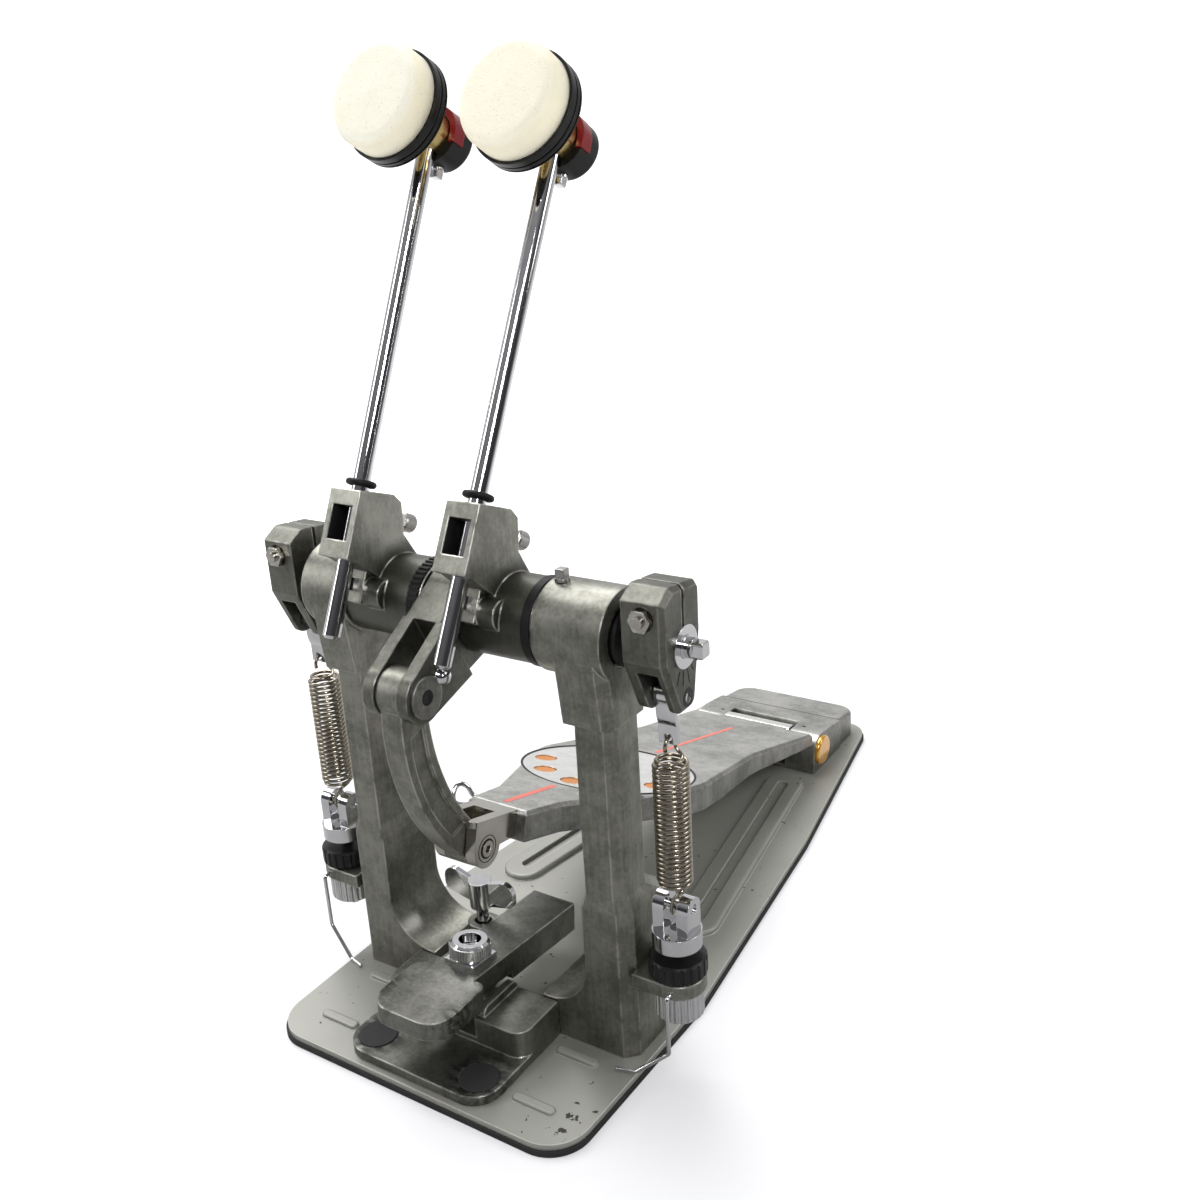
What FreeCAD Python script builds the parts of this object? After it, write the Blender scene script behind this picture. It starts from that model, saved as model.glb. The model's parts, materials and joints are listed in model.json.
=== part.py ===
import FreeCAD, Part
import math
import os
import re
import Sketcher

# Double bass drum pedal, in millimetres. X runs to the right as seen from the drum,
# Y runs from the drum to the heel and Z is up. The origin is on the floor under the axle.

DIMENSIONS = {
    # Floor mat and base plate
    "mat_thick": 3.0,
    "mat_margin": 0.8,
    "plate_thick": 3.0,
    "plate_front": 77.0,
    "plate_front_half": 88.5,
    "plate_wide_half": 91.0,
    "plate_wide_y": 45.0,
    "plate_mid_half": 75.0,
    "plate_mid_y": 205.0,
    "plate_tail_half": 50.0,
    "plate_rear": 366.0,
    "plate_corner": 20.0,
    "tail_corner": 16.0,
    "rib_inner": 48.0,
    "rib_outer": 71.0,
    "rib_front_y": 57.8,
    "rib_back_y": 22.4,
    "rib_half": 2.6,
    "rib_height": 1.8,
    "rail_front_x": 60.0,
    "rail_front_y": 86.0,
    "rail_rear_x": 33.0,
    "rail_rear_y": 272.0,
    "rail_half": 12.5,
    "rail_height": 3.0,
    "rail_slot_half": 3.6,
    "rail_slot_end": 11.0,
    # Uprights with their bearing housings
    "axle_height": 217.0,
    "post_inner": 60.5,
    "post_outer": 85.0,
    "post_front": 12.3,
    "post_back": 25.0,
    "post_corner": 6.0,
    "shoulder_height": 84.0,
    "shoulder_slope": 7.0,
    "foot_inner": 34.0,
    "foot_top": 26.0,
    "foot_fillet": 24.0,
    "column_inner": 62.5,
    "column_outer": 82.0,
    "column_front": 11.0,
    "column_back": 14.0,
    "column_corner": 5.0,
    "housing_inner": 60.0,
    "housing_outer": 84.0,
    "housing_drop": 39.0,
    "housing_half": 15.8,
    "housing_shoulder": 20.5,
    "housing_corner": 4.5,
    "boss_radius": 21.0,
    "boss_reach_right": 50.0,
    "boss_reach_left": 57.5,
    "bearing_radius": 14.0,
    "bearing_width": 13.0,
    "shaft_tunnel": 8.0,
    "base_screw_radius": 2.5,
    "base_screw_head": 4.6,
    "base_screw_head_thick": 1.8,
    "base_screw_depth": 14.0,
    # Axles, spring cams and hangers
    "axle_radius": 5.0,
    "axle_end": 122.0,
    "stub_radius": 4.5,
    "stub_length": 8.5,
    "stub_tip_radius": 4.3,
    "stub_edge": 0.5,
    "axle_flat": 3.5,
    "axle_flat_length": 5.0,
    "axle_split": 12.2,
    "axle_split_gap": 1.0,
    "run_gap": 0.05,
    "seat_gap": 0.3,
    "cam_inner": 92.4,
    "cam_thick": 19.6,
    "cam_front": 16.2,
    "cam_waist": 4.0,
    "cam_tip_half": 6.5,
    "cam_tip_round": 6.0,
    "cam_back": 14.5,
    "cam_back_rise": 3.0,
    "cam_back_top": 25.0,
    "cam_crown_y": 8.0,
    "cam_crown_top": 27.5,
    "cam_front_top": 22.5,
    "cam_round": 4.5,
    "cam_bevel": 2.2,
    "cam_slit": 2.0,
    "cam_bolt_height": 15.4,
    "cam_bolt_radius": 2.5,
    "cam_nut_radius": 5.2,
    "cam_nut_thick": 4.0,
    "cam_nut_sink": 1.2,
    "cam_bolt_stand": 4.3,
    "cam_head_thick": 3.5,
    "cam_slot_round": 4.0,
    "cam_washer_radius": 9.3,
    "cam_washer_thick": 1.0,
    "cam_slot_width": 10.0,
    "cam_slot_top": 9.0,
    "stack_y": 2.0,
    "eye_drop": 23.5,
    "hanger_pin_radius": 2.4,
    "pin_inset": 0.8,
    "hanger_room": 0.6,
    "hanger_width": 9.0,
    "hanger_thick": 2.6,
    "hanger_bow": 1.7,
    "hanger_bend": 7.0,
    "hanger_neck": 14.3,
    "hanger_ring": 4.8,
    "hanger_hole_drop": 20.0,
    "hanger_hole_radius": 1.9,
    "hanger_length": 23.0,
    # Springs and their tension screws
    "spring_wire": 1.7,
    "spring_radius": 7.35,
    "spring_end_radius": 5.4,
    "spring_pitch": 2.4,
    "spring_neck_top": 6.5,
    "spring_neck_low": 10.5,
    "hook_radius": 4.0,
    "clevis_pin_radius": 2.4,
    "clevis_pin_rise": 12.0,
    "clevis_stand": 5.5,
    "clevis_ring_thick": 8.0,
    "clevis_ring_radius": 11.5,
    "clevis_crown": 5.5,
    "clevis_half_width": 9.0,
    "clevis_half_depth": 6.0,
    "clevis_gap": 6.6,
    "tension_rod_radius": 3.2,
    "tension_rod_tail": 5.0,
    "knob_radius": 13.5,
    "knob_tall": 9.4,
    "knob_flutes": 20,
    "finger_edge": 1.0,
    "bracket_bottom": 47.8,
    "bracket_thick": 7.0,
    "bracket_half": 13.0,
    "nut_radius": 11.5,
    "nut_tall": 14.5,
    "nut_flutes": 24,
    "flute_radius": 1.0,
    "flute_depth": 0.7,
    "lock_wire_radius": 1.0,
    "lock_wire_low": 21.0,
    "lock_wire_out": 3.0,
    "lock_wire_socket": 3.0,
    "lock_wire_stand": 3.4,
    "lock_wire_kick": 7.5,
    "lock_wire_foot": 4.0,
    "lock_wire_tail": 9.0,
    "lock_wire_hook": 2.5,
    "lock_wire_bend": 2.4,
    # Beater hubs and beaters
    "beater_lean_left": 25.7,
    "beater_lean_right": 27.7,
    "beater_drop_left": 0.5,
    "beater_drop_right": 4.0,
    "beater_x_left": 46.8,
    "beater_x_right": 18.6,
    "rod_offset": 33.0,
    "rod_radius": 4.0,
    "rod_bottom": 25.5,
    "rod_past_head": 5.7,
    "hub_half": 8.8,
    "hub_front": 42.0,
    "hub_bottom": 10.0,
    "hub_top": 41.0,
    "hub_crown": 43.5,
    "hub_back": 14.0,
    "hub_crown_back": 20.0,
    "hub_neck_front": 36.0,
    "hub_neck_in": 12.0,
    "hub_neck_top": 29.5,
    "hub_neck_back": 4.0,
    "hub_cut_low": 25.0,
    "hub_cut_high": 75.0,
    "sleeve_lip": 0.8,
    "hub_ear_radius": 7.0,
    "hub_ear_reach": 17.0,
    "hub_ear_drop": 2.0,
    "hub_ear_thick": 5.0,
    "hub_ear_hole": 1.7,
    "sleeve_radius": 19.5,
    "sleeve_end_left": 12.7,
    "sleeve_end_right": 48.5,
    "hub_window_half": 6.0,
    "hub_window_low": 18.0,
    "hub_window_high": 34.0,
    "hub_window_depth": 11.0,
    "lug_half": 4.6,
    "lug_front": 24.0,
    "lug_depth": 8.0,
    "key_screw_radius": 3.4,
    "key_head_half": 3.0,
    "key_drop": 8.0,
    "key_stand": 6.0,
    "key_head_length": 8.0,
    "ring_thick": 3.0,
    "head_height": 208.8,
    "felt_radius": 23.8,
    "felt_face": 41.0,
    "felt_back": 24.5,
    "felt_round": 5.0,
    "felt_flat": 13.0,
    "felt_dome": 1.2,
    "rim_radius": 25.2,
    "rim_back": 18.0,
    "rim_front": 27.0,
    "rim_edge": 1.5,
    "groove_first": 1.9,
    "groove_pitch": 2.8,
    "groove_width": 1.0,
    "groove_depth": 1.0,
    "collar_radius": 9.5,
    "collar_back": 3.0,
    "collar_flange": 17.0,
    "flange_thick": 5.0,
    "clip_radius": 10.0,
    "clip_thick": 3.2,
    "clip_front": 2.0,
    "clip_back": 9.0,
    "clip_leg": 4.0,
    "barrel_radius": 13.0,
    "barrel_back": 16.5,
    "barrel_round": 2.0,
    # Drive arm and link
    "arm_pivot_y": 48.0,
    "arm_pivot_drop": 23.0,
    "arm_half": 12.4,
    "arm_hub_left": 10.8,
    "arm_hub_right": 8.6,
    "arm_end_radius": 12.0,
    "arm_fork_start": 25.0,
    "link_half": 5.8,
    "link_gap": 0.6,
    "link_pin_radius": 4.0,
    "link_boss_radius": 9.5,
    "link_boss_thick": 1.5,
    "link_socket": 2.8,
    "link_socket_depth": 3.0,
    "link_eye_top": 11.0,
    "link_eye_low": 9.5,
    "link_bow": 11.0,
    "link_width_half": 9.0,
    "link_foot_half": 8.5,
    "groove_inset": 4.2,
    "groove_end": 17.0,
    "link_groove": 1.4,
    "link_slack": 1.9,
    # Footboard and heel
    "hinge_y": 294.0,
    "hinge_z": 20.0,
    "board_slope": 15.4,
    "board_top": 11.8,
    "board_deep": 15.0,
    "board_skin": 5.0,
    "board_bevel": 1.8,
    "board_wall": 5.0,
    "board_flare": 50.0,
    "waist_round": 120.0,
    "toe_solid": 26.0,
    "heel_cut_start": 148.0,
    "board_heel_skin": 8.0,
    "cradle_lip": 1.5,
    "cradle_reach": 2.0,
    "toe_end": 300.0,
    "toe_half": 17.5,
    "toe_neck_half": 20.0,
    "toe_neck": 274.0,
    "board_wide_half": 54.0,
    "board_wide": 190.0,
    "board_waist_half": 41.5,
    "board_waist": 98.0,
    "board_tail_half": 44.5,
    "board_tail": 28.0,
    "board_end": 13.0,
    "disc_centre": 197.9,
    "disc_radius": 48.0,
    "disc_thick": 2.0,
    "disc_sink": 0.2,
    "dot_ring": 37.0,
    "dot_radius": 6.0,
    "dot_step": 37.5,
    "dot_thick": 1.4,
    "bracket_plate": 3.0,
    "bracket_reach": 33.0,
    "toe_bracket_half": 12.0,
    "toe_notch": 11.5,
    "toe_ear": 9.5,
    "toe_plate_round": 4.0,
    "toe_ear_rise": 2.0,
    "toe_pin_reach": 21.876,
    "toe_pin_under": 14.368,
    "toe_pin_stand": 0.5,
    "toe_socket": 2.0,
    "toe_socket_depth": 2.5,
    "toe_pin_radius": 4.0,
    "hinge_rod_radius": 7.5,
    "hinge_gap_half": 25.0,
    "hinge_half": 46.0,
    "pinhole_radius": 1.3,
    "pinhole_x": 31.0,
    "pinhole_y": 7.0,
    "pinhole_depth": 4.0,
    "hinge_rod_short": 1.0,
    "hinge_gap_back": 2.5,
    "cradle_clear": 1.5,
    "knuckle_drop": 0.8,
    "cradle_wall": 2.5,
    "knuckle_radius": 11.0,
    "hinge_seam": 327.5,
    "heel_rear": 361.0,
    "heel_seam_top": 27.0,
    "heel_rear_top": 22.0,
    "heel_half": 45.0,
    "heel_corner": 14.0,
    "heel_edge": 3.0,
    "cap_radius": 10.0,
    "cap_height": 3.0,
    # Hoop clamp
    "clamp_half": 43.0,
    "clamp_front": 74.0,
    "clamp_back": 12.8,
    "clamp_corner": 14.0,
    "clamp_floor": 5.0,
    "block_front": 42.0,
    "block_top": 25.0,
    "block_corner": 8.0,
    "channel_half": 15.0,
    "channel_floor": 14.0,
    "rim_height": 4.5,
    "rim_thick": 4.0,
    "rim_setback": 3.0,
    "rim_round": 4.0,
    "ridge_half": 5.0,
    "ridge_drop": 3.0,
    "stud_root": 4.0,
    "pad_x": 30.8,
    "pad_y": 60.5,
    "pad_radius": 9.5,
    "pad_height": 2.6,
    "pad_sink": 2.0,
    "fulcrum_y": 24.0,
    "fulcrum_z": 34.0,
    "fulcrum_bead": 5.0,
    "jaw_tilt": 5.15,
    "jaw_top": 7.4,
    "jaw_under": 4.0,
    "jaw_front": 51.0,
    "jaw_neck": 14.0,
    "jaw_half": 21.0,
    "jaw_corner": 12.0,
    "nose_drop": 2.6,
    "nose_crease": 17.0,
    "jaw_neck_round": 5.0,
    "jaw_belly_start": 16.2,
    "jaw_arm_half": 13.0,
    "jaw_arm_under": 8.0,
    "jaw_back": 71.0,
    "stud_radius": 4.0,
    "stud_slack": 1.5,
    "stud_top": 46.0,
    "clamp_washer_half": 9.0,
    "clamp_washer_thick": 2.4,
    "clamp_nut_radius": 9.6,
    "clamp_nut_height": 8.6,
    "wing_x": 22.0,
    "wing_y": 14.0,
    "wing_stem": 3.2,
    "wing_hub": 6.0,
    "wing_bottom": 43.0,
    "wing_top": 63.0,
    "wing_span": 22.0,
    "wing_thick": 3.0,
    "wing_root": 48.0,
    "wing_hub_top": 58.0,
    "wing_round": 4.0,
    "wing_tip_round": 6.0,
    "ear_half": 8.0,
    "ear_top": 3.0,
}

doc = FreeCAD.newDocument("DoublePedal")
sheet = doc.addObject("Spreadsheet::Sheet", "Sizes")
for row, (alias, size) in enumerate(DIMENSIONS.items(), start=1):
    sheet.set(f"A{row}", alias)
    sheet.set(f"B{row}", str(size))
    sheet.setAlias(f"B{row}", alias)
doc.recompute()

PIECES = []
FULL_TURN = 360.0
QUARTERS = 4

# A level past every piece, for cuts that run right through
FAR = "500"

# Shares of a half width or thickness that a round end and a softened edge take
ROUND_END = "0.95"
SOFT_EDGE = "0.6"

# How near a point counts as lying on a plane, and two headings count as equal
TOUCH = 0.01
TINY = 1e-6


def bound(text):
    """Write a size expression with each alias pointing at the sheet."""
    words = r"[a-z][a-z_]*[a-z]"
    return re.sub(words, lambda m: f"Sizes.{m[0]}" if m[0] in DIMENSIONS else m[0], str(text))


def size(text):
    """The present value of a size expression, in millimetres or degrees."""
    number = sheet.evalExpression(bound(text))
    return float(getattr(number, "Value", number))


def mirrored(side, low, high):
    """The two ends of a span along X on the right (+1) or left (-1) side."""
    if side > 0:
        return low, high
    return f"-({high})", f"-({low})"


def placed(item, x="0", y="0", z="0", tilt="0"):
    """Bind a piece's place, and its tilt about the X axis."""
    spot = f"create(<<vector>>; {bound(x)}; {bound(y)}; {bound(z)})"
    turn = f"create(<<rotation>>; create(<<vector>>; 1; 0; 0); {bound(tilt)})"
    item.setExpression("Placement", f"create(<<placement>>; {spot}; {turn})")


class Piece:
    """One sub-part: a body whose features are drawn on its own origin planes."""

    def __init__(self, label, x="0", y="0", z="0", tilt="0"):
        self.body = doc.addObject("PartDesign::Body", label)
        self.body.Label = label
        placed(self.body, x, y, z, tilt)
        PIECES.append(self.body)

    def sketch(self, plane, level="0"):
        """A sketch across the plane, at a level along the plane's own axis."""
        made = self.body.newObject("Sketcher::SketchObject", "outline")
        origin = [f for f in self.body.Origin.OriginFeatures if f.Role == f"{plane}_Plane"][0]
        made.AttachmentSupport = [(origin, "")]
        made.MapMode = "FlatFace"
        sign = "-" if plane == "XZ" else ""
        made.setExpression("AttachmentOffset.Base.z", bound(f"{sign}({level})"))
        return made

    def extrude(self, kind, plane, shapes, low, high):
        before = self.body.Shape.Volume if self.body.Tip else 0.0
        start = high if plane == "XZ" else low
        drawing = self.sketch(plane, start)
        for shape in shapes:
            draw(drawing, shape)
        made = self.body.newObject(f"PartDesign::{kind}", kind)
        made.Profile = drawing
        made.setExpression("Length", bound(f"({high}) - ({low})"))
        if kind == "Pocket":
            made.Reversed = True
        doc.recompute()
        after = self.body.Shape.Volume
        grows = kind == "Pad"
        if (after > before) != grows:
            raise RuntimeError(f"{self.body.Label}: {kind} on {plane} changed nothing")
        return made

    def pad(self, plane, shapes, low, high):
        """Add material between two levels along the plane's axis."""
        return self.extrude("Pad", plane, shapes, low, high)

    def cut(self, plane, shapes, low=f"-{FAR}", high=FAR):
        """Take material away between two levels along the plane's axis, or right through."""
        return self.extrude("Pocket", plane, shapes, low, high)

    def loft(self, plane, sections):
        """Join outlines of equal corners at different levels with flat sides."""
        drawings = []
        for outline, level in sections:
            drawings.append(self.sketch(plane, level))
            draw(drawings[-1], outline)
        made = self.body.newObject("PartDesign::AdditiveLoft", "AdditiveLoft")
        made.Profile = drawings[0]
        made.Sections = drawings[1:]
        made.Ruled = True
        doc.recompute()
        return made

    def spin(self, plane, shapes, axis):
        """Turn a half profile a full turn about the sketch's own axis."""
        drawing = self.sketch(plane)
        for shape in shapes:
            draw(drawing, shape)
        made = self.body.newObject("PartDesign::Revolution", "Revolution")
        made.Profile = drawing
        made.ReferenceAxis = (drawing, [axis])
        made.Angle = FULL_TURN
        doc.recompute()
        return made

    def ring_of_cuts(self, plane, shapes, count):
        """Repeat one cut evenly round the body's Z axis."""
        first = self.cut(plane, shapes)
        around = self.body.newObject("PartDesign::PolarPattern", "PolarPattern")
        around.Originals = [first]
        axis = [f for f in self.body.Origin.OriginFeatures if f.Role == "Z_Axis"][0]
        around.Axis = (axis, [""])
        around.Angle = FULL_TURN
        around.setExpression("Occurrences", bound(count))
        self.body.Tip = around
        doc.recompute()

    def soften(self, radius, test, kind="Fillet"):
        """Round or chamfer the edges whose middle point passes a test."""
        tip = self.body.Tip
        names = [f"Edge{i}" for i, edge in enumerate(tip.Shape.Edges, start=1) if test(edge)]
        made = self.body.newObject(f"PartDesign::{kind}", kind)
        made.Base = (tip, names)
        made.setExpression("Radius" if kind == "Fillet" else "Size", bound(radius))
        doc.recompute()


def draw(drawing, shape):
    """Add one closed shape to a sketch, every corner bound to the sheet."""
    if shape[0] == "circle":
        draw_circle(drawing, *shape[1:])
    else:
        draw_outline(drawing, shape)


def hold(drawing, kind, geometry, point, text):
    """Bind one coordinate of a sketch point to a size expression."""
    number = drawing.addConstraint(Sketcher.Constraint(kind, -1, 1, geometry, point, size(text)))
    drawing.setExpression(f"Constraints[{number}]", bound(text))


def draw_circle(drawing, x, y, radius):
    centre = FreeCAD.Vector(size(x), size(y), 0)
    ring = Part.Circle(centre, FreeCAD.Vector(0, 0, 1), size(radius))
    geometry = drawing.addGeometry(ring, False)
    number = drawing.addConstraint(Sketcher.Constraint("Radius", geometry, size(radius)))
    drawing.setExpression(f"Constraints[{number}]", bound(radius))
    hold(drawing, "DistanceX", geometry, 3, x)
    hold(drawing, "DistanceY", geometry, 3, y)


def draw_outline(drawing, corners):
    """A closed outline of corners (x, y), round corners (x, y, radius) and arc middles ("via", x, y)."""
    points = [c for c in corners if c[0] != "via"]
    vias = {}
    count = 0
    for corner in corners:
        if corner[0] == "via":
            vias[count - 1] = corner[1:]
        else:
            count += 1
    spots = [FreeCAD.Vector(size(p[0]), size(p[1]), 0) for p in points]
    trims = corner_trims(points, spots)
    edges = []
    for i in range(count):
        after = (i + 1) % count
        start = spots[i] if trims[i] is None else trims[i][1]
        stop = spots[after] if trims[after] is None else trims[after][0]
        if i in vias:
            middle = FreeCAD.Vector(size(vias[i][0]), size(vias[i][1]), 0)
            edges.append(add_arc(drawing, start, middle, stop))
            hold_on_curve(drawing, edges[-1][0], middle, vias[i])
        else:
            line = drawing.addGeometry(Part.LineSegment(start, stop), False)
            edges.append((line, 1, 2))
    for i in range(count):
        before, leaving = edges[i - 1], edges[i]
        if trims[i] is None:
            join = Sketcher.Constraint("Coincident", before[0], before[2], leaving[0], leaving[1])
            drawing.addConstraint(join)
            hold(drawing, "DistanceX", leaving[0], leaving[1], points[i][0])
            hold(drawing, "DistanceY", leaving[0], leaving[1], points[i][1])
        else:
            round_corner(drawing, points[i], spots[i], trims[i], before, leaving)


def corner_trims(points, spots):
    """Where each rounded corner's arc leaves its two sides, and the arc's middle."""
    trims = []
    for i, point in enumerate(points):
        if len(point) < 3:
            trims.append(None)
            continue
        back = (spots[i - 1] - spots[i]).normalize()
        ahead = (spots[(i + 1) % len(spots)] - spots[i]).normalize()
        half = back.getAngle(ahead) / 2
        radius = size(point[2])
        reach = radius / math.tan(half)
        inward = (back + ahead).normalize()
        middle = spots[i] + inward * (radius / math.sin(half) - radius)
        trims.append((spots[i] + back * reach, spots[i] + ahead * reach, middle))
    return trims


def add_arc(drawing, start, middle, stop):
    """An arc through three points, with the numbers of its first and last end."""
    curve = Part.Arc(start, middle, stop)
    geometry = drawing.addGeometry(curve, False)
    first = drawing.getPoint(geometry, 1)
    if (first - start).Length < (first - stop).Length:
        return geometry, 1, 2
    return geometry, 2, 1


def hold_on_curve(drawing, curve, spot, point):
    """Make a curve pass through a point bound to the sheet."""
    marker = drawing.addGeometry(Part.Point(spot), True)
    hold(drawing, "DistanceX", marker, 1, point[0])
    hold(drawing, "DistanceY", marker, 1, point[1])
    drawing.addConstraint(Sketcher.Constraint("PointOnObject", marker, 1, curve))


def round_corner(drawing, point, spot, trim, before, leaving):
    """A tangent arc between two sides whose lines still meet at the bound corner."""
    arc, first, last = add_arc(drawing, trim[0], trim[2], trim[1])
    drawing.addConstraint(Sketcher.Constraint("Tangent", before[0], before[2], arc, first))
    drawing.addConstraint(Sketcher.Constraint("Tangent", arc, last, leaving[0], leaving[1]))
    number = drawing.addConstraint(Sketcher.Constraint("Radius", arc, size(point[2])))
    drawing.setExpression(f"Constraints[{number}]", bound(point[2]))
    marker = drawing.addGeometry(Part.Point(spot), True)
    hold(drawing, "DistanceX", marker, 1, point[0])
    hold(drawing, "DistanceY", marker, 1, point[1])
    drawing.addConstraint(Sketcher.Constraint("PointOnObject", marker, 1, before[0]))
    drawing.addConstraint(Sketcher.Constraint("PointOnObject", marker, 1, leaving[0]))


def rectangle(x_low, x_high, y_low, y_high, radius=None):
    """Four corners, all rounded alike where a radius is given."""
    extra = () if radius is None else (radius,)
    spots = ((x_low, y_low), (x_high, y_low), (x_high, y_high), (x_low, y_high))
    return [spot + extra for spot in spots]


def both_sides(half_outline):
    """A closed outline from its right half, listed from the front to the back."""
    left = [(f"-({c[0]})",) + tuple(c[1:]) for c in reversed(half_outline)]
    return list(half_outline) + left


def rod(label, axis, radius, low, high, a="0", b="0"):
    """A plain round bar along X, Y or Z, as a Part cylinder."""
    bar = doc.addObject("Part::Cylinder", label)
    bar.setExpression("Radius", bound(radius))
    bar.setExpression("Height", bound(f"({high}) - ({low})"))
    about = {"x": "0; 1; 0); 90", "y": "1; 0; 0); -90", "z": "0; 0; 1); 0"}[axis]
    spot = {"x": (low, a, b), "y": (a, low, b), "z": (a, b, low)}[axis]
    place = "; ".join(bound(p) for p in spot)
    turn = f"create(<<rotation>>; create(<<vector>>; {about})"
    bar.setExpression("Placement", f"create(<<placement>>; create(<<vector>>; {place}); {turn})")
    return bar


def group(label, members):
    """Separate solids that share one node, such as a set of equal screws."""
    together = doc.addObject("Part::Compound", label)
    together.Label = label
    together.Links = members
    PIECES.append(together)
    return together


def loose(item):
    """Keep a helper solid out of the list of nodes."""
    PIECES.remove(item.body)
    return item.body


SIDES = (("left", -1), ("right", 1))
PLATE_TOP = "(mat_thick + plate_thick)"
STACK_X = "(cam_inner + cam_thick / 2)"

# Levels up each tension screw, one on the other
NUT_BOTTOM = "(bracket_bottom - seat_gap - nut_tall)"
BRACKET_TOP = "(bracket_bottom + bracket_thick)"
KNOB_TOP = f"({BRACKET_TOP} + seat_gap + knob_tall)"
CLEVIS_BOTTOM = f"({KNOB_TOP} + clevis_stand)"
CLEVIS_RING = f"({CLEVIS_BOTTOM} + clevis_ring_thick)"
CLEVIS_PIN = f"({CLEVIS_RING} + clevis_pin_rise)"
CLEVIS_TOP = f"({CLEVIS_PIN} + clevis_crown)"


def middle(edge):
    """A point half way along an edge."""
    return edge.valueAt((edge.FirstParameter + edge.LastParameter) / 2)


def edges_at(axis, level):
    """A test for the edges that lie wholly at one level along X, Y or Z."""
    place = size(level)

    def test(edge):
        ends = getattr(edge.BoundBox, f"{axis}Min"), getattr(edge.BoundBox, f"{axis}Max")
        return all(abs(end - place) < TOUCH for end in ends)

    return test


def square(x, y, half):
    """A square outline about a centre."""
    return rectangle(f"{x} - {half}", f"{x} + {half}", f"{y} - {half}", f"{y} + {half}")


def hexagon(x, y, radius):
    """A nut's outline about a centre, with two corners level."""
    corners = []
    for turn in range(0, 360, 60):
        corners.append((f"{x} + {radius} * cos({turn})", f"{y} + {radius} * sin({turn})"))
    return corners


# Base plate, its mat and the screws from below


def plate_outline(margin="0"):
    half = [
        (f"plate_front_half + {margin}", f"-plate_front - {margin}", "plate_corner"),
        (f"plate_wide_half + {margin}", "plate_wide_y"),
        (f"plate_mid_half + {margin}", "plate_mid_y"),
        (f"plate_tail_half + {margin}", f"plate_rear + {margin}", "tail_corner"),
    ]
    return both_sides(half)


def rail_outline(side, half, inset):
    """One raised rail's outline: a slanted bar with round ends, shortened by an inset."""
    lean = "(rail_front_x - rail_rear_x) / (rail_rear_y - rail_front_y)"
    front = f"(rail_front_x - ({inset}) * {lean})"
    rear = f"(rail_rear_x + ({inset}) * {lean})"
    front_y, rear_y = f"rail_front_y + {inset}", f"rail_rear_y - ({inset})"
    radius = f"{half} * {ROUND_END}"
    corners = [
        (f"{side} * ({front} - {half})", front_y, radius),
        (f"{side} * ({front} + {half})", front_y, radius),
        (f"{side} * ({rear} + {half})", rear_y, radius),
        (f"{side} * ({rear} - {half})", rear_y, radius),
    ]
    return corners if side > 0 else corners[::-1]


def post_screws(side):
    x = f"{side} * (post_inner + post_outer) / 2"
    return [(x, "-post_front / 2"), (x, "post_back * 2 / 3")]


def clamp_screws():
    x = "(clamp_half - block_corner - base_screw_head)"
    return [(f"{side} * {x}", "-(block_front + clamp_back) / 2") for side in (-1, 1)]


def heel_screws():
    return [(f"{side} * heel_half / 2", "(hinge_seam + heel_rear) / 2") for side in (-1, 1)]


def tap(piece, spots):
    """Blind holes in a casting for the screws that come up through the plate."""
    holes = [("circle", x, y, "base_screw_radius + run_gap") for x, y in spots]
    piece.cut("XY", holes, f"-{FAR}", "mat_thick + base_screw_depth + seat_gap")


def make_base():
    mat = Piece("rubber_mat")
    mat.pad("XY", [plate_outline("mat_margin")], "0", "mat_thick")

    plate = Piece("base_plate")
    plate.pad("XY", [plate_outline()], "mat_thick", PLATE_TOP)
    ribs = []
    for side in (-1, 1):
        for y in ("-rib_front_y", "-rib_back_y"):
            ends = mirrored(side, "rib_inner", "rib_outer")
            ribs.append(rectangle(*ends, f"{y} - rib_half", f"{y} + rib_half", f"rib_half * {ROUND_END}"))
    ridge = f"{PLATE_TOP} + rib_height"
    plate.pad("XY", ribs, "mat_thick", ridge)
    plate.soften(f"rib_height * {SOFT_EDGE}", edges_at("Z", ridge))
    crest = f"{PLATE_TOP} + rail_height"
    rails = [rail_outline(side, "rail_half", "0") for side in (-1, 1)]
    plate.pad("XY", rails, "mat_thick", crest)
    plate.soften(f"rail_height * {SOFT_EDGE}", edges_at("Z", crest))
    plate.cut("XY", [rail_outline(side, "rail_slot_half", "rail_slot_end") for side in (-1, 1)])

    spots = post_screws(-1) + post_screws(1) + clamp_screws() + heel_screws()
    plate.cut("XY", [("circle", x, y, "base_screw_radius + seat_gap") for x, y in spots])
    sinks = [("circle", x, y, "base_screw_head + seat_gap") for x, y in spots]
    head_top = "mat_thick + base_screw_head_thick"
    plate.cut("XY", sinks, f"-{FAR}", head_top)
    screws = []
    for number, (x, y) in enumerate(spots):
        screw = Piece(f"base_screw_{number}")
        screw.pad("XY", [("circle", x, y, "base_screw_head")], "mat_thick", head_top)
        shank = [("circle", x, y, "base_screw_radius")]
        screw.pad("XY", shank, "mat_thick", "mat_thick + base_screw_depth")
        screws.append(loose(screw))
    group("base_screws", screws)


# Uprights and bearings


def chamfered(side, inner, outer, front, back, corner):
    """A bar section with its two outer corners cut off."""
    corners = [
        (f"{side} * {inner}", f"-({front})"),
        (f"{side} * ({outer} - {corner})", f"-({front})"),
        (f"{side} * {outer}", f"{corner} - {front}"),
        (f"{side} * {outer}", f"{back} - {corner}"),
        (f"{side} * ({outer} - {corner})", back),
        (f"{side} * {inner}", back),
    ]
    return corners if side > 0 else corners[::-1]


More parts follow.
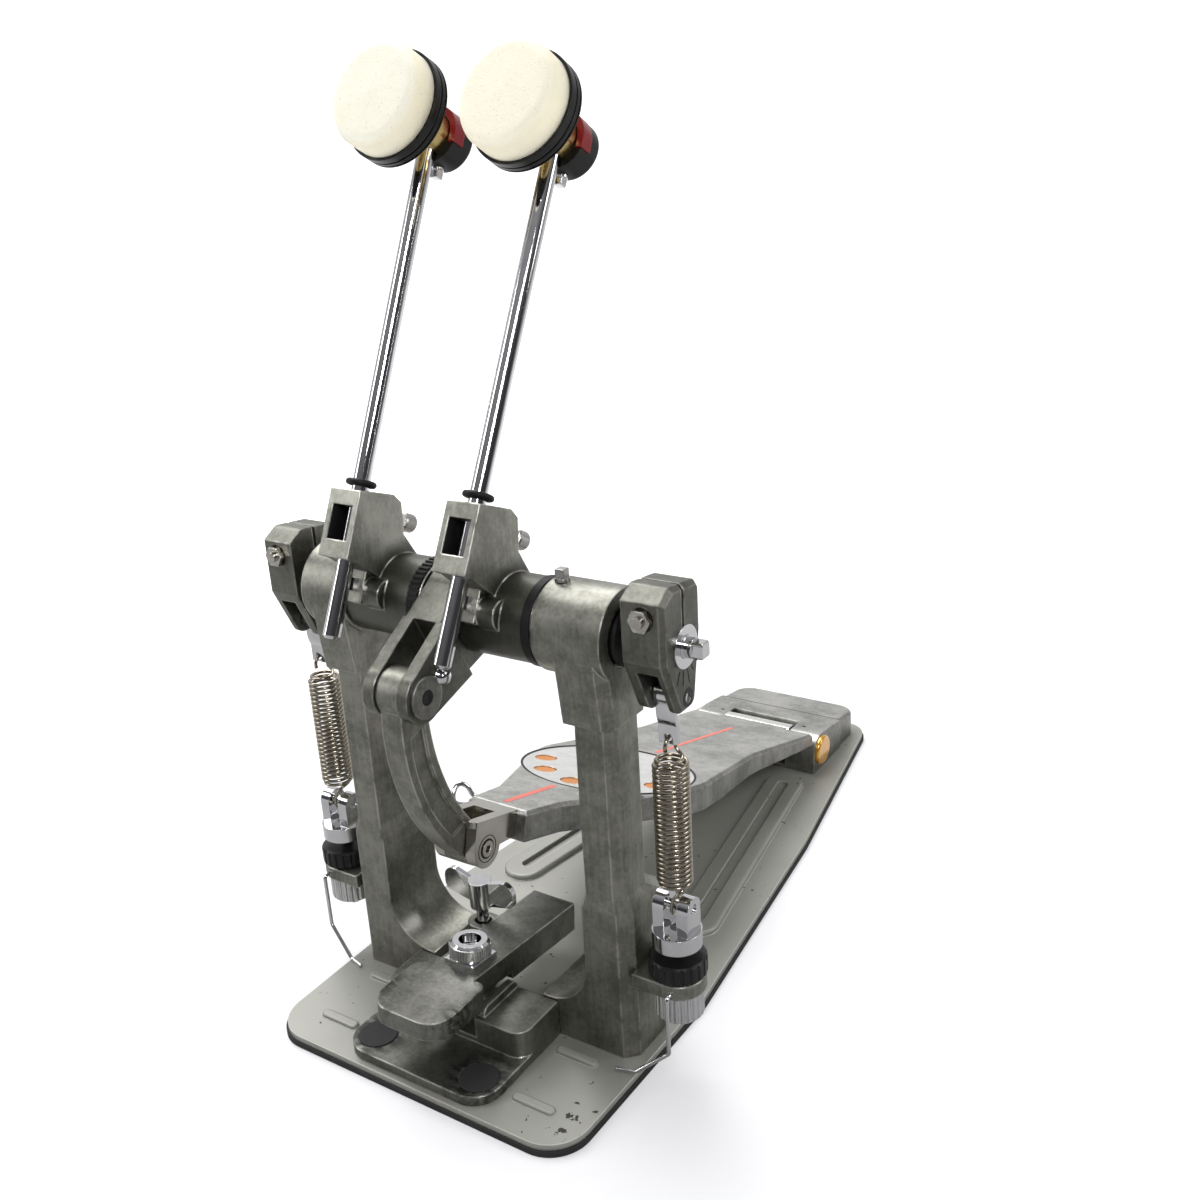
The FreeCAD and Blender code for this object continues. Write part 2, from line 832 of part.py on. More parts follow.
def make_post(name, side):
    post = Piece(f"post_{name}")
    block = chamfered(side, "post_inner", "post_outer", "post_front", "post_back", "post_corner")
    post.pad("XY", [block], PLATE_TOP, "shoulder_height")
    inside = "(post_outer - post_corner)"
    foot = [
        (f"{side} * foot_inner", PLATE_TOP),
        (f"{side} * {inside}", PLATE_TOP),
        (f"{side} * {inside}", "shoulder_height"),
        (f"{side} * post_inner", "shoulder_height"),
        (f"{side} * post_inner", "foot_top", "foot_fillet"),
        (f"{side} * foot_inner", "foot_top"),
    ]
    post.pad("XZ", [foot if side > 0 else foot[::-1]], "-post_front", "post_back")
    column = chamfered(side, "column_inner", "column_outer", "column_front", "column_back", "column_corner")
    post.pad("XY", [column], PLATE_TOP, "axle_height")
    post.loft("XY", [(block, "shoulder_height"), (column, "shoulder_height + shoulder_slope")])
    cheeks = []
    widening = (("housing_half", "axle_height - housing_drop"), ("housing_shoulder", "axle_height"))
    for half, level in widening:
        outline = chamfered(side, "housing_inner", "housing_outer", half, half, "housing_corner")
        cheeks.append((outline, level))
    post.loft("XY", cheeks)
    boss = [("circle", "0", "axle_height", "boss_radius")]
    post.pad("YZ", boss, *mirrored(side, f"boss_reach_{name}", "housing_outer"))
    tunnel = [("circle", "0", "axle_height", "shaft_tunnel")]
    post.cut("YZ", tunnel)
    seat = [("circle", "0", "axle_height", "bearing_radius + run_gap")]
    post.cut("YZ", seat, *mirrored(side, "housing_outer - bearing_width", FAR))
    tap(post, post_screws(side))


def make_posts():
    bearings = []
    for name, side in SIDES:
        make_post(name, side)
        bearing = Piece(f"bearing_{name}", z="axle_height")
        ends = mirrored(side, "housing_outer - bearing_width", "housing_outer - seat_gap")
        bearing.pad("YZ", [("circle", "0", "0", "bearing_radius")], *ends)
        bearing.cut("YZ", [("circle", "0", "0", "axle_radius + run_gap")])
        bearings.append(loose(bearing))
    group("axle_bearings", bearings)


# Axles, cams and spring hangers


def make_axles():
    beyond = ("axle_flat", FAR)
    short = (f"-{FAR}", "-axle_flat")
    whole = (f"-{FAR}", FAR)
    level = [rectangle(*whole, *beyond), rectangle(*whole, *short)]
    upright = [rectangle(*beyond, *whole), rectangle(*short, *whole)]
    for name, side, start in (("main", 1, "axle_split_gap - axle_split"), ("left", -1, "axle_split")):
        axle = Piece(f"axle_{name}", z="axle_height")
        shoulder = "axle_end - stub_length"
        axle.pad("YZ", [("circle", "0", "0", "axle_radius")], *mirrored(side, start, shoulder))
        tip = "axle_end - axle_flat_length"
        axle.pad("YZ", [("circle", "0", "0", "stub_radius")], *mirrored(side, start, tip))
        axle.pad("YZ", [("circle", "0", "0", "stub_tip_radius")], *mirrored(side, start, "axle_end"))
        for flats in (level, upright):
            axle.cut("YZ", flats, *mirrored(side, tip, FAR))
        axle.soften("stub_edge", edges_at("X", f"{side} * axle_end"), "Chamfer")


def make_cam(name, side):
    cam = Piece(f"cam_{name}", z="axle_height")
    ends = mirrored(side, "cam_inner", "cam_inner + cam_thick")
    centre = f"{side} * {STACK_X}"
    outline = [
        ("-cam_front", "-cam_waist"),
        ("stack_y - cam_tip_half", "-eye_drop - cam_tip_half", "cam_tip_round"),
        ("stack_y + cam_tip_half", "-eye_drop - cam_tip_half", "cam_tip_round"),
        ("cam_back", "cam_back_rise"),
        ("cam_back", "cam_back_top", "cam_round"),
        ("-cam_crown_y", "cam_crown_top", "cam_round"),
        ("-cam_front", "cam_front_top"),
    ]
    cam.pad("YZ", [outline], *ends)
    cam.soften("cam_bevel", edges_at("X", f"{side} * (cam_inner + cam_thick)"), "Chamfer")
    cam.cut("YZ", [("circle", "0", "0", "axle_radius + run_gap")])
    cam.cut("YZ", [rectangle("-cam_slit / 2", "cam_slit / 2", "0", FAR)])
    fork = rectangle(f"-{FAR}", "stack_y + hanger_ring + hanger_room", f"-{FAR}", "-cam_slot_top")
    fork[2] = fork[2] + ("cam_slot_round",)
    cam.cut("YZ", [fork], f"{centre} - cam_slot_width / 2", f"{centre} + cam_slot_width / 2")
    cam.cut("YZ", [("circle", "stack_y", "-eye_drop", "hanger_pin_radius + run_gap")])
    cam.cut("XZ", [("circle", centre, "cam_bolt_height", "cam_bolt_radius + run_gap")])
    sink = [("circle", centre, "cam_bolt_height", "cam_nut_radius + seat_gap")]
    cam.cut("XZ", sink, f"-{FAR}", "cam_nut_sink - cam_front")


def make_cam_bolts(name, side):
    """The clamp bolt with its nut, the washer on the cam's face and the pin of the hanger."""
    centre = f"{side} * {STACK_X}"
    seat = "(cam_nut_sink - cam_front)"
    shank = [("circle", centre, "cam_bolt_height", "cam_bolt_radius")]
    screw = Piece(f"cam_screw_{name}", z="axle_height")
    screw.pad("XZ", shank, "-cam_front - cam_bolt_stand", "cam_back")
    head = [("circle", centre, "cam_bolt_height", "cam_nut_radius - seat_gap")]
    screw.pad("XZ", head, "cam_back", "cam_back + cam_head_thick")
    nut = Piece(f"cam_nut_{name}", z="axle_height")
    nut.pad("XZ", [hexagon(centre, "cam_bolt_height", "cam_nut_radius")], f"{seat} - cam_nut_thick", seat)
    nut.cut("XZ", [("circle", centre, "cam_bolt_height", "cam_bolt_radius + run_gap")])
    outer = "cam_inner + cam_thick"
    washer = Piece(f"cam_washer_{name}", z="axle_height")
    washer.pad("YZ", [("circle", "0", "0", "cam_washer_radius")],
               *mirrored(side, outer, f"{outer} + cam_washer_thick"))
    washer.cut("YZ", [("circle", "0", "0", "axle_radius + run_gap")])
    pin = Piece(f"hanger_pin_{name}", z="axle_height")
    pin.pad("YZ", [("circle", "stack_y", "-eye_drop", "hanger_pin_radius")],
            *mirrored(side, "cam_inner + pin_inset", f"{outer} - pin_inset"))
    group(f"cam_bolts_{name}", [loose(screw), loose(nut), loose(washer), loose(pin)])


def make_hanger(name, side):
    hanger = Piece(f"hanger_{name}", x=f"{side} * {STACK_X}", y="stack_y", z="axle_height - eye_drop")
    half = "hanger_width / 2"
    hanger.pad("YZ", [("circle", "0", "0", "hanger_ring")], f"-{half}", half)
    front, back = "-hanger_thick / 2", "hanger_thick / 2"
    strip = [
        (back, "0"),
        (front, "0"),
        ("via", f"{front} - hanger_bow", "-hanger_bend"),
        (front, "-hanger_neck"),
        (front, "-hanger_length"),
        (back, "-hanger_length"),
        (back, "-hanger_neck"),
        ("via", f"{back} - hanger_bow", "-hanger_bend"),
    ]
    hanger.pad("YZ", [strip], f"-{half}", half)
    hanger.cut("YZ", [("circle", "0", "0", "hanger_pin_radius + run_gap")])
    hanger.cut("XZ", [("circle", "0", "-hanger_hole_drop", "hanger_hole_radius")])


# Springs: a pipe along tangent arcs


def turned_heading(p, t, q):
    """The heading at the end of the arc that leaves p along t and reaches q."""
    way = (q - p).normalize()
    return (way * (2 * t.dot(way)) - t).normalize()


def tangent_arc(p, t, q):
    """The arc, or straight line, that leaves p along t and reaches q."""
    way = q - p
    side = t.cross(way).cross(t)
    if side.Length < TINY * way.Length:
        return Part.LineSegment(p, q).toShape()
    side.normalize()
    radius = way.dot(way) / (2 * way.dot(side))
    centre = p + side * radius
    half = ((p - centre) + (q - centre)).normalize() * abs(radius)
    if half.dot(t) < 0:
        half = half * -1
    return Part.Arc(p, centre + half, q).toShape()


def biarc(start, heading, stop, arriving):
    """Two tangent arcs from one point and heading to another."""
    chord = stop - start
    a = 2 * (1 - heading.dot(arriving))
    b = 2 * chord.dot(heading + arriving)
    c = -chord.dot(chord)
    if a < TINY:
        return [tangent_arc(start, heading, stop)]
    reach = (-b + math.sqrt(b * b - 4 * a * c)) / (2 * a)
    meet = (start + heading * reach + stop - arriving * reach) * 0.5
    between = turned_heading(start, heading, meet)
    return [tangent_arc(start, heading, meet), tangent_arc(meet, between, stop)]


def hook(x, y, z, radius, wire, up):
    """Points and headings round a half-turn hook whose open end is straight for one wire diameter."""
    lift = FreeCAD.Vector(0, 0, 1 if up else -1)
    across = FreeCAD.Vector(0, 1, 0)
    base = FreeCAD.Vector(x, y, z)
    return [
        (base - across * radius - lift * wire, lift),
        (base - across * radius, lift),
        (base + lift * radius, across),
        (base + across * radius, lift * -1),
    ]


def spring_stations(x):
    """Points and headings down one spring: a hook, coils that taper at both ends, a hook."""
    y = size("stack_y")
    small, large = size("spring_end_radius"), size("spring_radius")
    radius, wire = size("hook_radius"), size("spring_wire")
    upper = size("axle_height - eye_drop - hanger_hole_drop - hook_radius")
    lower = size(CLEVIS_PIN)
    top = upper - size("spring_neck_top")
    bottom = lower + size("spring_neck_low")
    turns = round((top - bottom) / size("spring_pitch"))
    stations = hook(x, y, upper, radius, wire, up=True)
    pitch = (top - bottom) / turns
    for step in range(turns * QUARTERS + 1):
        turn = step / QUARTERS
        taper = max(0.0, 1 - turn, turn - turns + 1)
        coil = large - (large - small) * taper
        angle = math.radians(FULL_TURN * turn)
        along, aside = math.cos(angle), math.sin(angle)
        spot = FreeCAD.Vector(x + coil * along, y - coil * aside, top - pitch * turn)
        heading = FreeCAD.Vector(-coil * aside, -coil * along, -pitch / (2 * math.pi))
        stations.append((spot, heading.normalize()))
    low = hook(x, y, lower, radius, wire, up=False)
    ends = [(spot, heading * -1) for spot, heading in reversed(low)]
    return stations + [(FreeCAD.Vector(s.x, 2 * y - s.y, s.z), mirror_y(h)) for s, h in ends]


def mirror_y(heading):
    return FreeCAD.Vector(heading.x, -heading.y, heading.z)


def least_gap(points, spacing, wire):
    """The smallest clear distance between stretches of one wire that aren't neighbours."""
    skip = int(math.pi * wire / spacing) + 1
    cell = 2 * wire
    cells = {}
    least = wire * len(points)
    for i, p in enumerate(points):
        key = tuple(int(value // cell) for value in p)
        for dx in (-1, 0, 1):
            for dy in (-1, 0, 1):
                for dz in (-1, 0, 1):
                    for j in cells.get((key[0] + dx, key[1] + dy, key[2] + dz), ()):
                        if i - j > skip:
                            least = min(least, (p - points[j]).Length)
        cells.setdefault(key, []).append(i)
    return least - wire


def pipe(label, path, radius):
    """A round wire along a path of tangent arcs and lines."""
    start = path.OrderedEdges[0]
    ring = Part.Circle(start.valueAt(start.FirstParameter), start.tangentAt(start.FirstParameter), radius)
    shell = Part.BRepOffsetAPI.MakePipeShell(path)
    shell.add(Part.Wire(ring.toShape()))
    shell.build()
    shell.makeSolid()
    wire = doc.addObject("Part::Feature", label)
    wire.Label = label
    wire.Shape = shell.shape()
    return wire


def make_spring(name, side):
    edges = []
    stations = spring_stations(size(f"{side} * {STACK_X}"))
    for (p, t), (q, u) in zip(stations, stations[1:]):
        edges += biarc(p, t, q, u)
    path = Part.Wire(edges)
    wire = size("spring_wire")
    spring = pipe(f"spring_{name}", path, wire / 2)
    PIECES.append(spring)
    spacing = wire / QUARTERS
    gap = least_gap(path.discretize(Distance=spacing), spacing, wire)
    share = spring.Shape.Volume / (path.Length * math.pi * (wire / 2) ** 2)
    print(f"spring_{name}: wire {path.Length:.0f} mm, volume share {share:.4f}, least gap {gap:.2f} mm")


# Spring tension screws


def make_clevis(name, stack):
    clevis = Piece(f"clevis_{name}", x=stack, y="stack_y")
    clevis.pad("XY", [("circle", "0", "0", "clevis_ring_radius")], CLEVIS_BOTTOM, CLEVIS_RING)
    crown = f"clevis_half_depth * {ROUND_END}"
    arms = [
        ("-clevis_half_depth", CLEVIS_BOTTOM),
        ("clevis_half_depth", CLEVIS_BOTTOM),
        ("clevis_half_depth", CLEVIS_TOP, crown),
        ("-clevis_half_depth", CLEVIS_TOP, crown),
    ]
    clevis.pad("YZ", [arms], "-clevis_half_width", "clevis_half_width")
    clevis.cut("XZ", [rectangle("-clevis_gap / 2", "clevis_gap / 2", CLEVIS_RING, FAR)])
    clevis.cut("YZ", [("circle", "0", CLEVIS_PIN, "clevis_pin_radius + run_gap")])
    clevis.cut("XY", [("circle", "0", "0", "tension_rod_radius + run_gap")])
    reach = "(clevis_half_width - pin_inset)"
    pin = rod(f"clevis_pin_{name}", "x", "clevis_pin_radius", f"{stack} - {reach}", f"{stack} + {reach}",
              "stack_y", CLEVIS_PIN)
    return [loose(clevis), pin]


def make_bracket(name, side, stack):
    bracket = Piece(f"bracket_{name}", y="stack_y")
    loop = [
        (f"{side} * post_outer", "-bracket_half"),
        (stack, "-bracket_half"),
        ("via", f"{side} * ({STACK_X} + bracket_half)", "0"),
        (stack, "bracket_half"),
        (f"{side} * post_outer", "bracket_half"),
    ]
    bracket.pad("XY", [loop], "bracket_bottom", BRACKET_TOP)
    bracket.cut("XY", [("circle", stack, "0", "tension_rod_radius + run_gap")])
    wire_x = f"{side} * ({STACK_X} + lock_wire_out)"
    hole = [("circle", wire_x, "bracket_bottom + bracket_thick / 2", "lock_wire_radius + run_gap")]
    bracket.cut("XZ", hole, f"-{FAR}", "lock_wire_socket - bracket_half")
    return loose(bracket)


def make_finger_nut(label, x, radius, bottom, top, flutes):
    """A fluted nut that is turned by hand on the tension rod."""
    nut = Piece(label, x=x, y="stack_y")
    profile = [
        ("tension_rod_radius + run_gap", bottom),
        (f"{radius} - finger_edge", bottom),
        (radius, f"{bottom} + finger_edge"),
        (radius, f"{top} - finger_edge"),
        (f"{radius} - finger_edge", top),
        ("tension_rod_radius + run_gap", top),
    ]
    nut.spin("XZ", [profile], "V_Axis")
    flute = [("circle", f"{radius} + flute_radius - flute_depth", "0", "flute_radius")]
    nut.ring_of_cuts("XY", flute, flutes)


def bent_path(spots, bend):
    """Straight runs joined by tangent arcs of one bend radius."""
    edges = []
    start = spots[0]
    for before, corner, after in zip(spots, spots[1:], spots[2:]):
        back = (before - corner).normalize()
        ahead = (after - corner).normalize()
        half = back.getAngle(ahead) / 2
        reach = bend / math.tan(half)
        inside = corner + (back + ahead).normalize() * (bend / math.sin(half) - bend)
        edges.append(Part.LineSegment(start, corner + back * reach).toShape())
        edges.append(Part.Arc(corner + back * reach, inside, corner + ahead * reach).toShape())
        start = corner + ahead * reach
    edges.append(Part.LineSegment(start, spots[-1]).toShape())
    return Part.Wire(edges)


def make_lock_wire(name, side):
    """The bent wire from the bracket down beside the lower nut to the plate's edge."""
    x = f"{side} * ({STACK_X} + lock_wire_out)"
    face = "(stack_y - bracket_half)"
    stand = f"{face} - lock_wire_stand"
    kick = f"{face} - lock_wire_kick"
    high = "bracket_bottom + bracket_thick / 2"
    floor = f"{PLATE_TOP} + lock_wire_radius"
    edge = f"{side} * (post_outer + lock_wire_foot)"
    spots = [
        (x, f"{face} + lock_wire_socket - seat_gap", high),
        (x, stand, high),
        (x, stand, "lock_wire_low"),
        (edge, kick, floor),
        (f"{edge} - {side} * lock_wire_tail", f"{kick} - lock_wire_hook", floor),
    ]
    points = [FreeCAD.Vector(*(size(value) for value in spot)) for spot in spots]
    return pipe(f"lock_wire_{name}", bent_path(points, size("lock_wire_bend")), size("lock_wire_radius"))


def make_tension_screws():
    brackets, wires, clevises, rods = [], [], [], []
    for name, side in SIDES:
        stack = f"{side} * {STACK_X}"
        clevises += make_clevis(name, stack)
        low, high = f"{NUT_BOTTOM} - tension_rod_tail", f"{CLEVIS_RING} - seat_gap"
        rods.append(rod(f"tension_rod_{name}", "z", "tension_rod_radius", low, high, stack, "stack_y"))
        brackets.append(make_bracket(name, side, stack))
        wires.append(make_lock_wire(name, side))
        above, below = f"{BRACKET_TOP} + seat_gap", "bracket_bottom - seat_gap"
        make_finger_nut(f"knob_{name}", stack, "knob_radius", above, KNOB_TOP, "knob_flutes")
        make_finger_nut(f"nut_{name}", stack, "nut_radius", NUT_BOTTOM, below, "nut_flutes")
    group("clevises", clevises)
    group("tension_rods", rods)
    group("tension_brackets", brackets)
    group("lock_wires", wires)


# Beater hubs, in a frame that leans with the rod: Y runs back from it and Z along it


def make_hub(name, side, sleeve):
    place = {"z": "axle_height", "tilt": f"-beater_lean_{name}"}
    x = f"{side} * beater_x_{name}"
    ends = (f"{x} - hub_half", f"{x} + hub_half")
    hub = Piece(f"hub_{name}", **place)
    hub.pad("YZ", [("circle", "0", "0", "sleeve_radius")], *sleeve)
    clear = "(boss_radius + 2 * seat_gap)"
    half_way = "((hub_cut_low + hub_cut_high) / 2)"
    block = [
        ("-hub_front", "hub_top"),
        ("-hub_crown_back", "hub_crown"),
        ("-hub_back", "hub_top"),
        (f"-{clear} * cos(hub_cut_high)", f"{clear} * sin(hub_cut_high)"),
        ("via", f"-{clear} * cos({half_way})", f"{clear} * sin({half_way})"),
        (f"-{clear} * cos(hub_cut_low)", f"{clear} * sin(hub_cut_low)"),
        ("-hub_front", "hub_bottom"),
    ]
    hub.pad("YZ", [block], *ends)
    neck = [
        ("-hub_neck_in", "hub_neck_top"),
        ("hub_neck_back", "sleeve_radius"),
        ("0", "0"),
        ("-hub_neck_front", "hub_bottom"),
    ]
    hub.pad("YZ", [neck], *ends)
    lug = rectangle("-lug_front", "0", "-lug_depth", "lug_depth")
    hub.pad("YZ", [lug], f"{x} - lug_half", f"{x} + lug_half")
    ear = [("circle", "-hub_ear_reach", "-hub_ear_drop", "hub_ear_radius")]
    hub.pad("YZ", ear, f"{x} + lug_half", f"{ends[1]} + hub_ear_thick")
    hub.cut("YZ", [("circle", "-hub_ear_reach", "-hub_ear_drop", "hub_ear_hole")], ends[1], FAR)
    hub.cut("YZ", [("circle", "0", "0", "axle_radius + run_gap")])
    slot = (f"{x} - hub_window_half", f"{x} + hub_window_half")
    window = rectangle(*slot, "hub_window_low", "hub_window_high")
    hub.cut("XZ", [window], f"-{FAR}", "hub_window_depth - hub_front")
    hub.cut("XY", [("circle", x, "-rod_offset", "rod_radius + run_gap")])
    key_z = "hub_top - key_drop"
    hub.cut("XZ", [("circle", x, key_z, "key_screw_radius + run_gap")], "-rod_offset", FAR)

    tip = "rod_radius + seat_gap - rod_offset"
    stand = "key_stand - hub_back"
    screw = Piece(f"hub_key_{name}", **place)
    screw.pad("XZ", [("circle", x, key_z, "key_screw_radius")], tip, stand)
    screw.pad("XZ", [square(x, key_z, "key_head_half")], stand, f"{stand} + key_head_length")
    bolt = Piece(f"hub_bolt_{name}", **place)
    bolt.pad("XZ", [square(x, "0", "key_head_half")], tip, "-lug_front")
    group(f"hub_screws_{name}", [loose(screw), loose(bolt)])


def make_hubs():
    make_hub("left", -1, ("-(beater_x_left + hub_half + sleeve_lip)", "-sleeve_end_left"))
    make_hub("right", 1, ("beater_x_right - hub_half", "sleeve_end_right"))


# Beaters: rod pieces in a frame on the rod, head pieces in one at the head's centre


def beater_place(name, side, along):
    """A frame on the rod's centre line, so far along it, with Y running back and Z along the rod."""
    lean = f"beater_lean_{name}"
    up = f"({along} - beater_drop_{name})"
    return {
        "x": f"{side} * beater_x_{name}",
        "y": f"{up} * sin({lean}) - rod_offset * cos({lean})",
        "z": f"axle_height + {up} * cos({lean}) + rod_offset * sin({lean})",
        "tilt": f"-{lean}",
    }


def saddle(gap):
    """The clip's section: a half ring over the barrel's top, with its legs reaching down."""
    inner, outer = f"(clip_radius - {gap})", f"(clip_radius + clip_thick + {gap})"
    foot = f"-clip_leg - {gap}"
    return [
        (inner, foot),
        (outer, foot),
        (outer, "0"),
        ("via", "0", outer),
        (f"-{outer}", "0"),
        (f"-{outer}", foot),
        (f"-{inner}", foot),
        (f"-{inner}", "0"),
        ("via", "0", inner),
        (inner, "0"),
    ]


def rim_profile():
    """A cup round the back of the felt, with grooves round its outside."""
    profile = [
        ("-rim_back", "0"),
        ("-rim_back", "rim_radius - rim_edge"),
        ("-rim_back - rim_edge", "rim_radius"),
    ]
    for number in (0, 1):
        start = f"-rim_back - groove_first - {number} * groove_pitch"
        floor = "rim_radius - groove_depth"
        profile += [(start, "rim_radius"), (start, floor)]
        profile += [(f"{start} - groove_width", floor), (f"{start} - groove_width", "rim_radius")]
    profile += [
        ("-rim_front", "rim_radius"),
        ("-rim_front", "felt_radius + run_gap"),
        ("-felt_back", "felt_radius + run_gap"),
        ("-felt_back", "0"),
    ]
    return profile


def make_beater(name, side):
    on_rod = beater_place(name, side, "0")
    stick = Piece(f"beater_rod_{name}", **on_rod)
    stick.pad("XY", [("circle", "0", "0", "rod_radius")], "-rod_bottom", "head_height + rod_past_head")
    stick.soften("rod_radius / 3", lambda edge: edge.BoundBox.ZLength < TOUCH, "Chamfer")
    ring = Piece(f"stop_ring_{name}", **on_rod)
    thick = "(ring_thick / 2)"
    centre = f"rod_radius + run_gap + {thick}"
    level = f"hub_crown + beater_drop_{name} + seat_gap + {thick}"
    ring.spin("XZ", [("circle", centre, level, thick)], "V_Axis")

    at_head = beater_place(name, side, "head_height")
    hole = [("circle", "0", "0", "rod_radius + run_gap")]
    blind = "rod_past_head + seat_gap"
    felt = Piece(f"felt_{name}", **at_head)
    felt.spin("YZ", [[
        ("-felt_back", "0"),
        ("-felt_back", "felt_radius"),
        ("felt_dome - felt_face", "felt_radius", "felt_round"),
        ("-felt_face", "felt_flat"),
        ("-felt_face", "0"),
    ]], "H_Axis")
    rim = Piece(f"rim_{name}", **at_head)
    rim.spin("YZ", [rim_profile()], "H_Axis")
    collar = Piece(f"collar_{name}", **at_head)
    collar.spin("YZ", [[
        ("-rim_back", "0"),
        ("-rim_back", "collar_flange"),
        ("flange_thick - rim_back", "collar_flange"),
        ("flange_thick - rim_back", "collar_radius"),
        ("collar_back", "collar_radius"),
        ("collar_back", "0"),
    ]], "H_Axis")
    collar.cut("XY", hole, f"-{FAR}", blind)
    barrel = Piece(f"barrel_{name}", **at_head)
    barrel.spin("YZ", [[
        ("collar_back", "0"),
        ("collar_back", "barrel_radius"),
        ("barrel_back", "barrel_radius", "barrel_round"),
        ("barrel_back", "0"),
    ]], "H_Axis")
    barrel.cut("XZ", [saddle("run_gap")], f"-{FAR}", "clip_back + run_gap")
    barrel.cut("XY", hole, f"-{FAR}", blind)
    clip = Piece(f"clip_{name}", **at_head)
    clip.pad("XZ", [saddle("0")], "clip_front", "clip_back")


# Drive arm and the link to the toe


def make_arm():
    """The arm in a frame on the axle, turned so that its pivot lies along -Y."""
    reach = "sqrt(arm_pivot_y ^ 2 + arm_pivot_drop ^ 2)"
    tip = f"-({reach})"
    arm = Piece("drive_arm", z="axle_height", tilt="atan(arm_pivot_drop / arm_pivot_y)")
    body = ("-arm_hub_left", "arm_hub_right")
    arm.pad("YZ", [("circle", "0", "0", "sleeve_radius")], *body)
    web = [
        ("0", "-sleeve_radius"),
        ("0", "sleeve_radius"),
        (tip, "arm_end_radius"),
        ("via", f"{tip} - arm_end_radius", "0"),
        (tip, "-arm_end_radius"),
    ]
    arm.pad("YZ", [web], *body)
    taper = f"(sleeve_radius - arm_end_radius) * arm_fork_start / ({reach})"
    fork = [
        ("-arm_fork_start", f"{taper} - sleeve_radius"),
        ("-arm_fork_start", f"sleeve_radius - {taper}"),
        *web[2:],
    ]
    arm.pad("YZ", [fork], "-arm_half", "arm_half")
    inside = "link_half + link_gap"
    arm.cut("YZ", [rectangle(f"-{FAR}", "-arm_fork_start", f"-{FAR}", FAR)], f"-({inside})", inside)
    arm.cut("YZ", [("circle", "0", "0", "axle_radius + run_gap")])
    arm.cut("YZ", [("circle", tip, "0", "link_pin_radius + run_gap")])

    pin = Piece("link_pin", y="-arm_pivot_y", z="axle_height - arm_pivot_drop")
    face = "arm_half + link_boss_thick"
    pin.pad("YZ", [("circle", "0", "0", "link_pin_radius")], "-arm_half", face)
    pin.pad("YZ", [("circle", "0", "0", "link_boss_radius")], "arm_half", face)
    pin.cut("YZ", [("circle", "0", "0", "link_socket")], f"{face} - link_socket_depth", FAR)


def make_link():
    """The link in a frame at its upper pivot, turned so that its lower eye lies along -Z."""
    along, above = toe_pin_place()
    pivot_z = "axle_height - arm_pivot_drop"
    run_y = f"(arm_pivot_y + hinge_y + ({along}) * cos(board_slope) + {above} * sin(board_slope))"
    run_z = f"({pivot_z} - hinge_z + ({along}) * sin(board_slope) - {above} * cos(board_slope))"
    reach = f"sqrt({run_y} ^ 2 + {run_z} ^ 2)"
    foot = f"-({reach})"
    link = Piece("drive_link", y="-arm_pivot_y", z=pivot_z, tilt=f"atan({run_y} / {run_z})")
    band = [
        ("-link_width_half", "0"),
        ("via", "-link_bow - link_width_half", f"{foot} / 2"),
        ("-link_foot_half", foot),
        ("link_foot_half", foot),
        ("via", "link_width_half - link_bow", f"{foot} / 2"),
        ("link_width_half", "0"),
    ]
    link.pad("YZ", [band], "-link_half", "link_half")
    link.pad("YZ", [("circle", "0", "0", "link_eye_top")], "-link_half", "link_half")
    link.pad("YZ", [("circle", "0", foot, "link_eye_low")], "-link_half", "link_half")
    link.cut("YZ", [("circle", "0", "0", "link_pin_radius + run_gap")])
    link.cut("YZ", [("circle", "0", foot, "toe_pin_radius + link_slack")])
    half = "(link_width_half - groove_inset)"
    low = f"{foot} + groove_end"
    rise = "(link_bow * 0.5)"
    groove = [
        (f"-{rise} - {half}", "-groove_end"),
        ("via", f"-link_bow - {half}", f"{foot} / 2"),
        (f"-{rise} - {half}", low),
        (f"{half} - {rise}", low),
        ("via", f"{half} - link_bow", f"{foot} / 2"),
        (f"{half} - {rise}", "-groove_end"),
    ]
    for side in (-1, 1):
        link.cut("YZ", [groove], *mirrored(side, "link_half - link_groove", FAR))


# Footboard, in a frame on the heel hinge that slopes with the board


BOARD = {"y": "hinge_y", "z": "hinge_z", "tilt": "-board_slope"}


def toe_pin_place():
    """The toe pin in the footboard's own frame, along it and above its hinge."""
    return "-toe_end - toe_pin_reach", "(board_top - toe_pin_under)"


